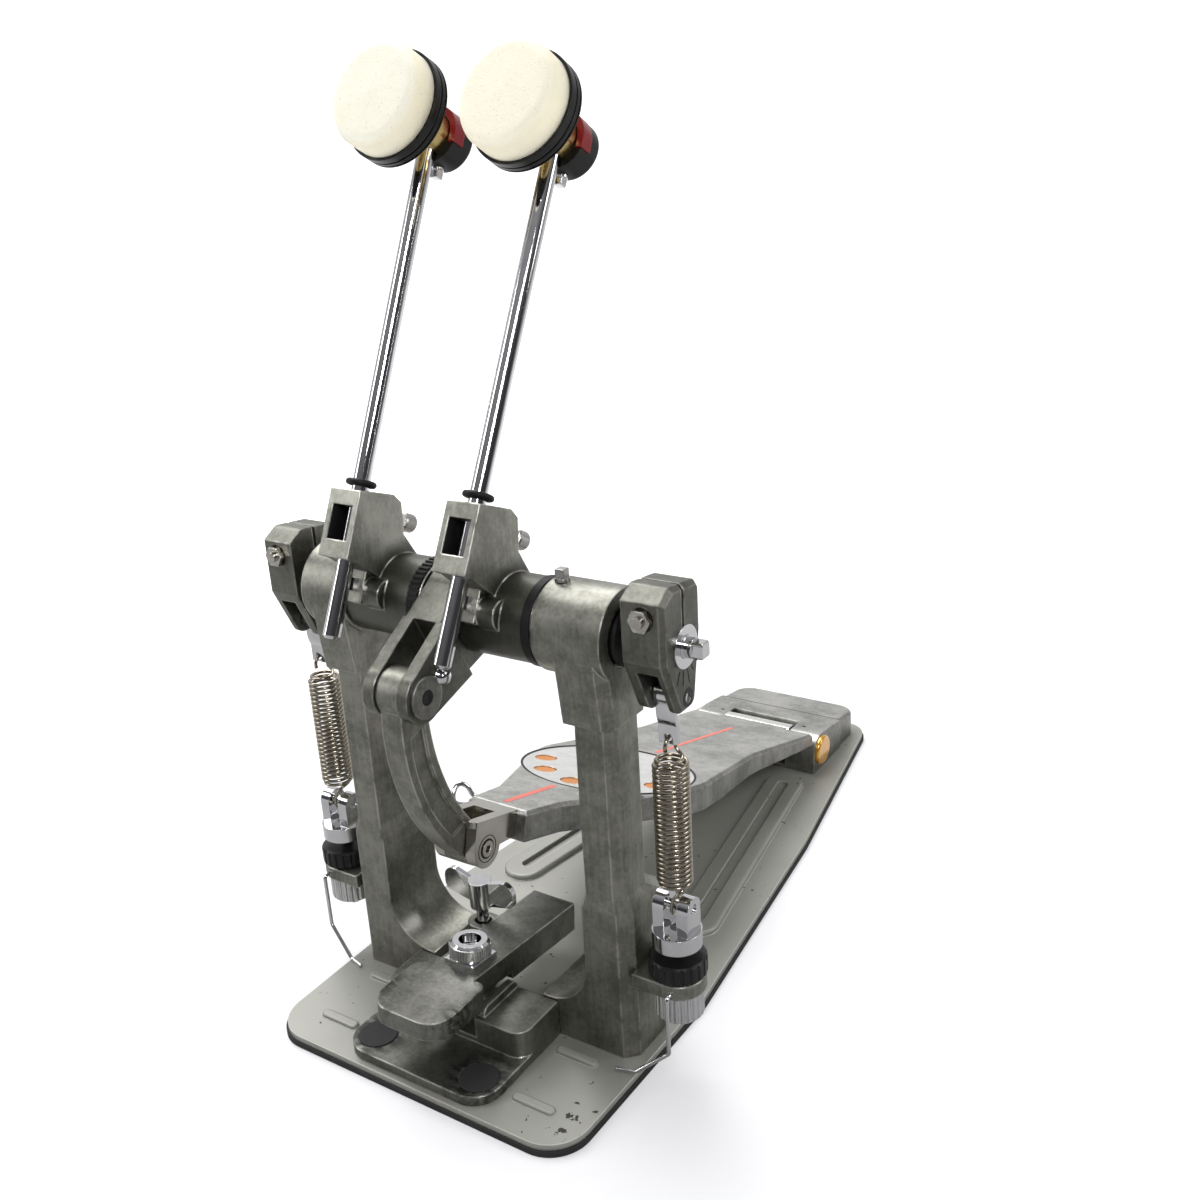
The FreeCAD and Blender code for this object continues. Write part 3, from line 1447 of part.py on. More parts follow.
def make_board():
    under = "board_top - board_deep"
    heel_under = "board_top - board_heel_skin"
    board = Piece("footboard", **BOARD)
    half = [
        ("toe_half", "-toe_end"),
        ("toe_neck_half", "-toe_neck"),
        ("board_wide_half", "-board_wide", "board_flare"),
        ("board_waist_half", "-board_waist", "waist_round"),
        ("board_tail_half", "-board_tail"),
        ("board_tail_half", "-board_end"),
    ]
    board.pad("XY", [both_sides(half)], under, "board_top")
    board.soften("board_bevel", edges_at("Z", "board_top"), "Chamfer")
    belly = [
        ("toe_half - board_wall", "toe_solid - toe_end"),
        ("toe_neck_half - board_wall", "toe_solid + board_wall - toe_end"),
        ("board_wide_half - board_wall", "-board_wide", "board_flare - board_wall"),
        ("board_waist_half - board_wall", "-board_waist", "waist_round + board_wall"),
        ("board_tail_half - board_wall", "-board_tail - board_wall"),
    ]
    board.cut("XY", [both_sides(belly)], f"-{FAR}", "board_top - board_skin")
    heel_cut = [
        ("-heel_cut_start", under),
        ("-heel_cut_start", f"-{FAR}"),
        (FAR, f"-{FAR}"),
        (FAR, heel_under),
        ("-board_end - board_skin", heel_under),
    ]
    board.cut("YZ", [heel_cut])
    ring = "(hinge_rod_radius + cradle_wall)"
    cradle = [
        ("-board_end - board_wall", heel_under),
        (f"-{ring}", "0"),
        ("via", "0", f"-{ring}"),
        (ring, "0"),
        (ring, "cradle_lip"),
        (f"-{ring}", "cradle_lip"),
        ("cradle_reach - board_end", "board_top"),
        ("-board_end - board_wall", "board_top"),
    ]
    room = "(hinge_gap_half - 2 * seat_gap)"
    board.pad("YZ", [cradle], f"-{room}", room)
    board.cut("YZ", [("circle", "0", "0", "hinge_rod_radius + run_gap")])
    well = [("circle", "0", "-disc_centre", "disc_radius + seat_gap")]
    board.cut("XY", well, "board_top - disc_thick - disc_sink", FAR)
    bar = Piece("hinge_rod", **BOARD)
    bar.pad("YZ", [("circle", "0", "0", "hinge_rod_radius")], "hinge_rod_short - hinge_half",
            "hinge_half - hinge_rod_short")


def make_disc():
    level = "board_top - disc_thick - disc_sink"
    disc = Piece("foot_disc", **BOARD)
    disc.pad("XY", [("circle", "0", "-disc_centre", "disc_radius")], level, f"{level} + disc_thick")
    spots = []
    for step in (-2, -1, 0, 1, 2):
        turn = f"({step} * dot_step)"
        spots.append((f"dot_ring * sin({turn})", f"-disc_centre - dot_ring * cos({turn})"))
    disc.cut("XY", [("circle", x, y, "dot_radius + seat_gap") for x, y in spots])
    dots = []
    for number, (x, y) in enumerate(spots):
        dot = Piece(f"dot_{number}", **BOARD)
        dot.pad("XY", [("circle", x, y, "dot_radius")], level, f"{level} + dot_thick")
        dots.append(loose(dot))
    group("disc_dots", dots)


def make_toe():
    pin_y, pin_z = toe_pin_place()
    toe = Piece("toe_bracket", **BOARD)
    plate = [
        ("-toe_bracket_half", "-toe_end - bracket_reach", "toe_plate_round"),
        ("toe_bracket_half", "-toe_end - bracket_reach", "toe_plate_round"),
        ("toe_bracket_half", "-toe_end"),
        ("-toe_bracket_half", "-toe_end"),
    ]
    toe.pad("XY", [plate], "board_top - bracket_plate", "board_top")
    ears = [
        (f"{pin_y} - toe_ear", pin_z),
        ("via", pin_y, f"{pin_z} - toe_ear"),
        (f"{pin_y} + toe_ear", pin_z),
        ("-toe_end", "board_top - board_deep + toe_ear_rise"),
        ("-toe_end", "board_top"),
        (f"{pin_y} - toe_ear", "board_top"),
    ]
    toe.pad("YZ", [ears], "-toe_bracket_half", "toe_bracket_half")
    inside = "(link_half + link_gap)"
    toe.cut("XY", [rectangle(f"-{inside}", inside, f"-{FAR}", f"{pin_y} + toe_notch")])
    toe.cut("YZ", [("circle", pin_y, pin_z, "toe_pin_radius + run_gap")])
    pin = Piece("toe_pin", **BOARD)
    face = "(toe_bracket_half + toe_pin_stand)"
    pin.pad("YZ", [("circle", pin_y, pin_z, "toe_pin_radius")], f"-{face}", face)
    pin.cut("YZ", [hexagon(pin_y, pin_z, "toe_socket")], f"{face} - toe_socket_depth", FAR)


def make_heel():
    block = Piece("hinge_block")
    profile = [
        ("hinge_y - knuckle_radius", PLATE_TOP),
        ("hinge_seam", PLATE_TOP),
        ("hinge_seam", "heel_seam_top"),
        ("hinge_y + knuckle_radius", "hinge_z + knuckle_radius - knuckle_drop"),
        ("hinge_y", "hinge_z + knuckle_radius"),
        ("via", "hinge_y - knuckle_radius * cos(45)", "hinge_z + knuckle_radius * sin(45)"),
        ("hinge_y - knuckle_radius", "hinge_z"),
    ]
    block.pad("YZ", [profile], "-hinge_half", "hinge_half")
    gap_end = "hinge_y + knuckle_radius + hinge_gap_back"
    gap = rectangle("-hinge_gap_half", "hinge_gap_half", f"-{FAR}", gap_end)
    block.cut("XY", [gap], "hinge_z - hinge_rod_radius - cradle_wall - cradle_clear", FAR)
    block.cut("YZ", [("circle", "hinge_y", "hinge_z", "hinge_rod_radius + run_gap")])
    pinhole_place = "hinge_y + pinhole_y"
    pinholes = [("circle", f"{side} * pinhole_x", pinhole_place, "pinhole_radius") for side in (-1, 1)]
    block.cut("XY", pinholes, "heel_seam_top - pinhole_depth", FAR)

    heel = Piece("heel_block")
    slope = [
        ("hinge_seam + seat_gap", PLATE_TOP),
        ("heel_rear", PLATE_TOP),
        ("heel_rear", "heel_rear_top"),
        ("hinge_seam + seat_gap", "heel_seam_top"),
    ]
    heel.pad("YZ", [slope], "-heel_half", "heel_half")
    upright = edges_at("Y", "heel_rear")
    heel.soften("heel_corner", lambda edge: upright(edge) and edge.BoundBox.ZLength > TOUCH)
    crown = size("heel_rear_top")
    half_way = size("(hinge_seam + heel_rear) / 2")
    heel.soften("heel_edge", lambda edge: edge.BoundBox.ZMin > crown - TOUCH and middle(edge).y > half_way)
    tap(heel, heel_screws())

    caps = []
    for name, side in SIDES:
        cap = Piece(f"hinge_cap_{name}", x=f"{side} * hinge_half", y="hinge_y", z="hinge_z")
        cap.pad("YZ", [("circle", "0", "0", "cap_radius")], *mirrored(side, "0", "cap_height"))
        cap.soften(f"cap_height * {SOFT_EDGE}", edges_at("X", f"{side} * cap_height"))
        caps.append(loose(cap))
    group("hinge_caps", caps)


# Hoop clamp


def make_clamp_base():
    base = Piece("clamp_base")
    floor = f"{PLATE_TOP} + clamp_floor"
    tongue = [
        ("-clamp_half", "-clamp_front", "clamp_corner"),
        ("clamp_half", "-clamp_front", "clamp_corner"),
        ("clamp_half", "-clamp_back"),
        ("-clamp_half", "-clamp_back"),
    ]
    base.pad("XY", [tongue], PLATE_TOP, floor)
    blocks = [
        ("-clamp_half", "-block_front", "block_corner"),
        ("clamp_half", "-block_front", "block_corner"),
        ("clamp_half", "-clamp_back"),
        ("-clamp_half", "-clamp_back"),
    ]
    base.pad("XY", [blocks], PLATE_TOP, "block_top")
    rim_top = "block_top + rim_height"
    rim = [
        ("rim_setback - block_front", PLATE_TOP),
        ("-clamp_back", PLATE_TOP),
        ("-clamp_back", rim_top, "rim_round"),
        ("rim_setback - block_front", rim_top, "rim_round"),
    ]
    base.pad("YZ", [rim], "-channel_half - rim_thick", "channel_half + rim_thick")
    base.cut("XZ", [rectangle("-channel_half", "channel_half", "channel_floor", FAR)])
    ridge_top = "fulcrum_z - fulcrum_bead - seat_gap"
    ridge = [
        ("-fulcrum_y - ridge_half", PLATE_TOP),
        ("ridge_half - fulcrum_y", PLATE_TOP),
        ("ridge_half - fulcrum_y", f"{ridge_top} - ridge_drop"),
        ("via", "-fulcrum_y", ridge_top),
        ("-fulcrum_y - ridge_half", f"{ridge_top} - ridge_drop"),
    ]
    base.pad("YZ", [ridge], "-channel_half", "channel_half")
    root = "channel_floor - stud_root"
    base.cut("XY", [("circle", "0", "-fulcrum_y", "stud_radius + run_gap")], root, FAR)
    bottom = f"{floor} - pad_sink"
    sinks = [("circle", f"{side} * pad_x", "-pad_y", "pad_radius + run_gap") for side in (-1, 1)]
    base.cut("XY", sinks, bottom, FAR)
    tap(base, clamp_screws())
    stud = rod("clamp_stud", "z", "stud_radius", root, "stud_top", "0", "-fulcrum_y")
    stud.Label = "clamp_stud"
    PIECES.append(stud)

    pads = []
    for name, side in SIDES:
        pad = Piece(f"hoop_pad_{name}", x=f"{side} * pad_x", y="-pad_y")
        crown = f"{bottom} + pad_height"
        pad.pad("XY", [("circle", "0", "0", "pad_radius")], bottom, crown)
        pad.soften(f"(pad_height - pad_sink) * {SOFT_EDGE}", edges_at("Z", crown))
        pads.append(loose(pad))
    group("hoop_pads", pads)


JAW = {"y": "-fulcrum_y", "z": "fulcrum_z", "tilt": "-jaw_tilt"}


def make_jaw():
    jaw = Piece("clamp_jaw", **JAW)
    nose = [
        ("-jaw_half", "-jaw_front", "jaw_corner"),
        ("jaw_half", "-jaw_front", "jaw_corner"),
        ("jaw_half", "-jaw_neck", "jaw_neck_round"),
        ("-jaw_half", "-jaw_neck", "jaw_neck_round"),
    ]
    jaw.pad("XY", [nose], "-jaw_under", "jaw_top")
    slope = [
        ("-nose_crease", "jaw_top"),
        ("-jaw_front", "jaw_top - nose_drop"),
        (f"-{FAR}", "jaw_top - nose_drop"),
        (f"-{FAR}", FAR),
        ("-nose_crease", FAR),
    ]
    jaw.cut("YZ", [slope])
    arm = rectangle("-jaw_arm_half", "jaw_arm_half", "-nose_crease", "jaw_back")
    jaw.pad("XY", [arm], "-jaw_under", "jaw_top")
    belly = rectangle("jaw_belly_start", "jaw_back", "-jaw_arm_under", "jaw_top")
    jaw.pad("YZ", [belly], "-jaw_arm_half", "jaw_arm_half")
    jaw.pad("YZ", [("circle", "0", "0", "fulcrum_bead")], "-jaw_arm_half", "jaw_arm_half")
    ear_y = "(fulcrum_y + wing_y)"
    ear = [
        ("-wing_x", f"{ear_y} - ear_half"),
        ("0", f"{ear_y} - ear_half"),
        ("0", f"{ear_y} + ear_half"),
        ("-wing_x", f"{ear_y} + ear_half"),
        ("via", "-wing_x - ear_half", ear_y),
    ]
    jaw.pad("XY", [ear], "-jaw_under", "ear_top")
    jaw.cut("XY", [("circle", "-wing_x", ear_y, "wing_stem + stud_slack")])
    jaw.cut("XY", [("circle", "0", "0", "stud_radius + stud_slack")])

    low = "(jaw_top + clamp_washer_thick)"
    top = f"{low} + clamp_nut_height"
    bore = "stud_radius + stud_slack"
    washer = Piece("jaw_washer", **JAW)
    washer.pad("XY", [square("0", "0", "clamp_washer_half")], "jaw_top", low)
    washer.cut("XY", [("circle", "0", "0", bore)])
    nut = Piece("jaw_nut", **JAW)
    nut.spin("XZ", [[
        (bore, low),
        ("clamp_nut_radius - finger_edge", low),
        ("clamp_nut_radius", f"{low} + finger_edge"),
        ("clamp_nut_radius", f"{top} - finger_edge"),
        ("clamp_nut_radius - finger_edge", top),
        (bore, top),
    ]], "V_Axis")
    group("clamp_nut", [loose(washer), loose(nut)])


def make_wing_screw():
    wing = Piece("wing_screw", x="-wing_x", y="wing_y")
    wing.pad("XY", [("circle", "0", "0", "wing_stem")], f"{PLATE_TOP} + seat_gap", "wing_root")
    wing.pad("XY", [("circle", "0", "0", "wing_hub")], "wing_bottom", "wing_hub_top")
    blades = [
        ("-wing_span", "wing_root", "wing_round"),
        ("0", "wing_bottom"),
        ("wing_span", "wing_root", "wing_round"),
        ("wing_span", "wing_top", "wing_tip_round"),
        ("wing_hub", "wing_hub_top"),
        ("-wing_hub", "wing_hub_top"),
        ("-wing_span", "wing_top", "wing_tip_round"),
    ]
    wing.pad("XZ", [blades], "-wing_thick / 2", "wing_thick / 2")


make_base()
make_posts()
make_axles()
for side_name, side_sign in SIDES:
    make_cam(side_name, side_sign)
    make_cam_bolts(side_name, side_sign)
    make_hanger(side_name, side_sign)
    make_spring(side_name, side_sign)
    make_beater(side_name, side_sign)
make_tension_screws()
make_hubs()
make_arm()
make_link()
make_board()
make_disc()
make_toe()
make_heel()
make_clamp_base()
make_jaw()
make_wing_screw()
doc.recompute()

for item in doc.Objects:
    if "Invalid" in item.State or "Error" in item.State:
        raise RuntimeError(f"{item.Label} failed: {item.State}")
for piece in PIECES:
    shape = piece.Shape
    if shape.isNull() or not shape.isValid() or not shape.Solids:
        raise RuntimeError(f"{piece.Label} has no valid solid")
os.makedirs("parts", exist_ok=True)
for piece in PIECES:
    piece.Shape.exportStep(f"parts/{piece.Label}.step")
print(f"{len(PIECES)} nodes, {sum(len(p.Shape.Solids) for p in PIECES)} solids")
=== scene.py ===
# %% [markdown]
# # A double bass drum pedal
# This lesson dresses a pedal that was already built as solids: every casting, rod and spring comes in
# at its real size and stays where it is. What is left for Blender is what a camera sees: worn metal,
# felt, rubber, light. We load the solids first. The frame also knows where each joint turns, which
# later places the small parts.

# %% Load the pedal
import json
import math

import bmesh
import bpy
from mathutils import Matrix, Vector, noise


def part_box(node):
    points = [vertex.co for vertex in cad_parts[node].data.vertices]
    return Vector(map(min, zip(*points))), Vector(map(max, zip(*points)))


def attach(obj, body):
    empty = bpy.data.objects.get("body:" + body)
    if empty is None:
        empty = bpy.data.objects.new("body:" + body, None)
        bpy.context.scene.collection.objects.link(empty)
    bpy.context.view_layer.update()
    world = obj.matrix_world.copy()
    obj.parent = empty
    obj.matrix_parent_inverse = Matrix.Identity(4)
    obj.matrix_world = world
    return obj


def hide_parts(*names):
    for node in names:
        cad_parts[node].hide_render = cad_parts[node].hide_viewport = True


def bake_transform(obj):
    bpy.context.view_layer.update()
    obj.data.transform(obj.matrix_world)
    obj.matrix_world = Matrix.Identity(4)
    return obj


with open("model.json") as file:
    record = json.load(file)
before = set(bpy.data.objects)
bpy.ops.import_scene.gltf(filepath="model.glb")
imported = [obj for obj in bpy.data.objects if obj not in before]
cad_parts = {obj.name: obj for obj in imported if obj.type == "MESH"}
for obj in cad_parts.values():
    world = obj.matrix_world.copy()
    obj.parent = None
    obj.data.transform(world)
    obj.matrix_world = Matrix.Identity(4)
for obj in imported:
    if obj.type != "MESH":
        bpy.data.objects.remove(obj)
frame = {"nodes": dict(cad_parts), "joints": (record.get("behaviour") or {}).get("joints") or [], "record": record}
nodes = frame["nodes"]
joints = {joint["name"]: joint for joint in frame["joints"]}
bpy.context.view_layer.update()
MM = 0.001


def pivot(joint):
    """Where a joint turns, in millimetres."""
    return [value / MM for value in joints[joint]["pos_m"]]


# %% [markdown]
# ## The camera
# The photograph looks down on the pedal from the drum's side, from the right, with the camera tilted a
# little. A camera in Blender looks along its own -Z, so three turns set it: up from the floor, a small
# roll, and round the upright axis.

# %% Set the camera
CAMERA_PLACE = Vector((344.9, -405.9, 411.1)) * MM
CAMERA_TURNS = (69.742, 3.103, 32.752)
LENS = 37.36
NEAREST_SEEN = 10 * MM
lens = bpy.data.cameras.new("photo_lens")
lens.lens = LENS
lens.clip_start = NEAREST_SEEN
camera = bpy.data.objects.new("photo_camera", lens)
camera.location = CAMERA_PLACE
camera.rotation_euler = [math.radians(turn) for turn in CAMERA_TURNS]
bpy.context.scene.collection.objects.link(camera)
bpy.context.scene.camera = camera
print(f"camera {CAMERA_PLACE.length:.2f} m from the pedal's origin")

# %% [markdown]
# ## Shader maths as Python
# Node trees are easier to read as sums. `Value` wraps the socket that a number comes out of, and its
# operators add Math nodes, so that a weighted sum of patterns is written as one.

# %% Values


class Value:
    """What comes out of a node; sums with it add Math nodes."""

    def __init__(self, finish, socket):
        self.finish = finish
        self.socket = socket

    def math(self, operation, first, second=0.0):
        return self.finish.node("ShaderNodeMath", {"operation": operation}, {0: first, 1: second})

    def __add__(self, other):
        return self.math("ADD", self, other)

    def __radd__(self, other):
        return self.math("ADD", other, self)

    def __sub__(self, other):
        return self.math("SUBTRACT", self, other)

    def __rsub__(self, other):
        return self.math("SUBTRACT", other, self)

    def __mul__(self, other):
        return self.math("MULTIPLY", self, other)

    def __rmul__(self, other):
        return self.math("MULTIPLY", other, self)

    def root(self):
        return self.math("SQRT", self)

    def sine(self):
        return self.math("SINE", self)


def paint(colour):
    """A colour with its alpha, as a socket takes it."""
    return (*colour, 1.0)


print("white as a socket takes it", paint((1.0, 1.0, 1.0)))

# %% [markdown]
# ## A material as an object
# `Finish` is one material: its `node` method adds any other node, first its settings and then its
# sockets, and the short methods below it are the nodes that are used often. Every pattern is read from
# Object coordinates, which are metres here.

# %% Finishes
BEVEL_SAMPLES = 4
EDGE_TURN = (0.01, 0.14)


class Finish:
    """One material, with a Principled shader that its nodes feed."""

    def __init__(self, name):
        self.material = bpy.data.materials.new(name)
        self.material.use_nodes = True
        self.tree = self.material.node_tree
        self.shader = self.tree.nodes["Principled BSDF"]
        self.place = self.node("ShaderNodeTexCoord", {}, {}, "Object")

    def fill(self, socket, content):
        if isinstance(content, Value):
            self.tree.links.new(content.socket, socket)
        else:
            socket.default_value = content

    def node(self, kind, settings, sockets, output=0):
        """Add a node: its settings come first, then its sockets by name or number."""
        made = self.tree.nodes.new(kind)
        for name, setting in settings.items():
            setattr(made, name, setting)
        for name, content in sockets.items():
            self.fill(made.inputs[name], content)
        return Value(self, made.outputs[output])

    def look(self, **sockets):
        """Fill sockets of the shader, named in lower case with underscores."""
        for name, content in sockets.items():
            self.fill(self.shader.inputs[name.replace("_", " ").title().replace("Ior", "IOR")], content)

    def stretched(self, x, y, z):
        return self.node("ShaderNodeMapping", {}, {"Vector": self.place, "Scale": (x, y, z)})

    def clouds(self, size, detail=3, place=None):
        """Soft noise from 0 to 1 whose patches are about this many metres wide."""
        sockets = {"Vector": place or self.place, "Scale": 1 / size, "Detail": detail}
        return self.node("ShaderNodeTexNoise", {}, sockets, "Fac")

    def step(self, value, low, high):
        """Rise smoothly from 0 to 1 as a value goes from low to high."""
        sockets = {"Value": value, "From Min": low, "From Max": high}
        return self.node("ShaderNodeMapRange", {"interpolation_type": "SMOOTHSTEP"}, sockets)

    def mix(self, share, first, second):
        """Blend two colours."""
        return self.node("ShaderNodeMix", {"data_type": "RGBA"}, {0: share, 6: first, 7: second}, 2)

    def normal(self):
        return self.node("ShaderNodeNewGeometry", {}, {}, "Normal")

    def dot(self, first, second):
        """How far two directions agree, 1 where they are the same."""
        return self.node("ShaderNodeVectorMath", {"operation": "DOT_PRODUCT"}, {0: first, 1: second}, "Value")

    def rounded(self, radius):
        """A normal that turns smoothly across sharp edges."""
        return self.node("ShaderNodeBevel", {"samples": BEVEL_SAMPLES}, {"Radius": radius}, "Normal")

    def edges(self, soft):
        """A mask that is 1 where a rounded normal has left the plain one."""
        return self.step(1 - self.dot(soft, self.normal()), *EDGE_TURN)

    def bumps(self, height, depth, normal):
        return self.node("ShaderNodeBump", {}, {"Height": height, "Distance": depth, "Normal": normal})

    def axis(self, letter):
        """One coordinate of the place, in metres."""
        return self.node("ShaderNodeSeparateXYZ", {}, {0: self.place}, letter)

    def distance(self, **line):
        """How far a place is from a line, given by two of its coordinates."""
        first, second = (self.axis(letter.upper()) - level for letter, level in line.items())
        return (first * first + second * second).root()


print("shader helpers ready")

# %% [markdown]
# ## Use and painted light on the castings
# The uprights, hubs, cams, clamp and footboard are tumbled aluminium that was never painted. The hoop's
# rubber left black smears round the clamp's pads, and some faces have dark pits. Two marks are painted
# light: what looks up on the footboard and heel is painted lighter, as light from above, and the hubs
# are painted darker round the axle, as painted shade. Each mark is a short function that takes a colour
# and gives it back marked, so a casting can have any of them.

# %% Marks on cast metal
AXLE_LEVEL = pivot("main_axle_swing")[2]
AXLE_HEIGHT = AXLE_LEVEL * MM
LIT_TOPS = ((0.3, 0.3, 0.285), (0.56, 0.555, 0.53))
LOOKING_UP = (0.7, 0.9)
AXLE_SHADE_BLACK = (0.05, 0.05, 0.043)
AXLE_SHADE_REACH = (20 * MM, 29 * MM)
PIT_BLACK = (0.06, 0.06, 0.057)
PIT_SIZE = 2.6 * MM
PITTED = (0.66, 0.72)
SMEAR_BLACK = (0.03, 0.03, 0.03)
SMEAR_REACH = (10 * MM, 19 * MM)
SMEAR_SHARE = 0.85
STREAK_SIZE = 3 * MM
STREAK_STRETCH = (0.45, 1.0, 1.0)
STREAKED = (0.38, 0.6)
pads_low, pads_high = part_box("hoop_pads")
pad_y = (pads_low.y + pads_high.y) / 2
pad_x = pads_high.x - (pads_high.y - pad_y)
HOOP_PADS = ((-pad_x, pad_y), (pad_x, pad_y))


def lit_tops(finish, tone, bare, share):
    """Paint what looks up lighter: painted light from above."""
    upward = finish.node("ShaderNodeSeparateXYZ", {}, {0: finish.normal()}, "Z")
    bright = finish.mix(tone, *[paint(colour) for colour in LIT_TOPS])
    return finish.mix(share * finish.step(upward, *LOOKING_UP), bare, bright)


def axle_shaded(finish, bare, share):
    """Darken what lies close to the axle: painted shade round the sleeve."""
    away = finish.distance(y=0.0, z=AXLE_HEIGHT)
    return finish.mix(share * (1 - finish.step(away, *AXLE_SHADE_REACH)), bare, paint(AXLE_SHADE_BLACK))


def pitted(finish, colour, share):
    pits = finish.step(finish.clouds(PIT_SIZE), *PITTED)
    return finish.mix(share * pits, colour, paint(PIT_BLACK))


def smeared(finish, colour, places):
    """Rub black rubber on the metal round some places, in streaks along X."""
    along = finish.stretched(*STREAK_STRETCH)
    streaks = finish.step(finish.clouds(STREAK_SIZE, detail=4, place=along), *STREAKED)
    for x, y in places:
        near = 1 - finish.step(finish.distance(x=x, y=y), *SMEAR_REACH)
        colour = finish.mix(SMEAR_SHARE * near * streaks, colour, paint(SMEAR_BLACK))
    return colour


print("black smears round", len(HOOP_PADS), "pads")

# %% [markdown]
# ## Raw castings
# Cast aluminium is metal, so its colour is mostly what it mirrors, blurred. Handling left soft stains a
# few centimetres wide, a finer mottle, faint marks drawn down the length, and bright rubbed metal along
# the edges. The edges come from a Bevel node, which compares a rounded normal with the plain one, so no
# geometry has to change.

# %% Cast aluminium
CAST_EDGE = 1.3 * MM
STAIN_SIZE = 34 * MM
BLOTCH_SIZE = 8 * MM
MOTTLE_SIZE = 1.9 * MM
DRAWN_SIZE = 1.6 * MM
DRAWN_STRETCH = (1.0, 1.0, 0.05)
GRAIN_SIZE = 0.3 * MM
CAST_DEPTH = 0.05 * MM
CAST_TONES = (0.38, 0.62)
CAST_RUBBED = (0.3, 0.55)


def raw_casting(name, dark, light, rubbed, pits=0.0, smears=(), rub=1.0, top_light=0.0, axle_shade=0.0):
    """Cast metal between a dark and a light tone, with a third colour where edges are rubbed bare."""
    finish = Finish(name)
    soft = finish.rounded(CAST_EDGE)
    stains = finish.clouds(STAIN_SIZE)
    blotch = finish.clouds(BLOTCH_SIZE, detail=4)
    mottle = finish.clouds(MOTTLE_SIZE, detail=4)
    drawn = finish.clouds(DRAWN_SIZE, detail=3, place=finish.stretched(*DRAWN_STRETCH))
    grain = finish.clouds(GRAIN_SIZE, detail=2)
    tone = finish.step(0.38 * stains + 0.26 * blotch + 0.2 * mottle + 0.16 * drawn, *CAST_TONES)
    wear = rub * finish.edges(soft) * finish.step(blotch, *CAST_RUBBED)
    colour = finish.mix(tone, paint(dark), paint(light))
    # Painted light: faces that look up are made lighter.
    if top_light:
        colour = lit_tops(finish, tone, colour, top_light)
    # Painted shade: darker close to the axle.
    if axle_shade:
        colour = axle_shaded(finish, colour, axle_shade)
    colour = finish.mix(wear, colour, paint(rubbed))
    if pits:
        colour = pitted(finish, colour, pits)
    if smears:
        colour = smeared(finish, colour, smears)
    height = 0.55 * grain + 0.38 * mottle + 0.07 * drawn
    finish.look(base_color=colour, metallic=0.9, roughness=0.33 + 0.14 * mottle - 0.08 * wear,
                normal=finish.bumps(height, CAST_DEPTH, soft))
    return finish.material


casting = raw_casting("raw_casting", (0.14, 0.14, 0.118), (0.28, 0.278, 0.244), (0.62, 0.61, 0.57))
# A darker copy for the arm and cams: painted shade, as they lie in shadow.
shaded_casting = raw_casting("shaded_casting", (0.085, 0.085, 0.072), (0.17, 0.169, 0.148), (0.45, 0.44, 0.41))
# The hubs get painted shade round the axle.
hub_casting = raw_casting("hub_casting", (0.2, 0.2, 0.172), (0.38, 0.377, 0.335), (0.66, 0.65, 0.61),
                          axle_shade=0.8)
# The footboard and heel get painted light on what looks up.
board_casting = raw_casting("board_casting", (0.14, 0.14, 0.13), (0.29, 0.287, 0.27), (0.66, 0.65, 0.63),
                            pits=0.5, rub=0.4, top_light=0.7)
clamp_casting = raw_casting("clamp_casting", (0.11, 0.11, 0.096), (0.22, 0.22, 0.2), (0.6, 0.595, 0.56),
                            pits=0.3, smears=HOOP_PADS)
print("finishes", [each.name for each in (casting, shaded_casting, hub_casting, board_casting, clamp_casting)])

# %% [markdown]
# ## Bright metal
# Rods, nuts and hangers are chrome plated: almost a mirror, with a little haze where fingers have been.
# The springs and the toe bracket are nickel, warmer and duller. Brass and steel are made the same way,
# with other numbers. A screw thread is too fine to model here, so a sine along the rod makes its turns,
# and its roots are painted darker as painted shade. The fasteners of a cam share one node: its washer is
# chrome and its bolt, higher up, is duller, so that finish changes with height.

# %% Plated and plain metals
METAL_EDGE = 0.4 * MM
SMUDGE_SIZE = 9 * MM
SMUDGED = (0.35, 0.75)
SMUDGE_TINT = 0.72
THREAD_PITCH = 1.3 * MM
THREAD_DEPTH = 0.35 * MM
THREAD_ROOT_SHADE = 0.25
THREAD_CREST = (-0.9, 0.4)
BOLT_LEVELS = (227 * MM, 228.5 * MM)
BOLT_SMUDGE = 5 * MM
BOLT_TONES = ((0.42, 0.4, 0.365), (0.6, 0.585, 0.55))
WASHER_CHROME = (0.72, 0.72, 0.73)


def bright_metal(name, colour, haze, roughness):
    finish = Finish(name)
    dull = finish.step(finish.clouds(SMUDGE_SIZE, detail=4), *SMUDGED)
    tint = [part * SMUDGE_TINT for part in colour]
    finish.look(base_color=finish.mix(0.35 * dull, paint(colour), paint(tint)), metallic=1.0,
                roughness=roughness + haze * dull, normal=finish.rounded(METAL_EDGE))
    return finish.material


def threaded(name, colour):
    """Plated metal whose bump runs round it in bands, as a thread's turns do, with painted shade in the roots."""
    finish = Finish(name)
    ridge = (finish.axis("Z") * (math.tau / THREAD_PITCH)).sine()
    crest = finish.step(ridge, *THREAD_CREST)
    # Painted shade: the thread's roots are darker.
    root = [part * THREAD_ROOT_SHADE for part in colour]
    finish.look(base_color=finish.mix(crest, paint(root), paint(colour)), metallic=1.0,
                roughness=0.14 + 0.1 * crest, normal=finish.bumps(ridge, THREAD_DEPTH, finish.normal()))
    return finish.material


def cam_fasteners(name):
    """Chrome washers below, and a duller bolt and nut above them."""
    finish = Finish(name)
    smudge = finish.step(finish.clouds(BOLT_SMUDGE, detail=4), *SMUDGED)
    upper = finish.step(finish.axis("Z"), *BOLT_LEVELS)
    dull = finish.mix(smudge, *[paint(colour) for colour in BOLT_TONES])
    finish.look(base_color=finish.mix(upper, paint(WASHER_CHROME), dull), metallic=1.0,
                roughness=0.05 + 0.17 * upper, normal=finish.rounded(METAL_EDGE))
    return finish.material


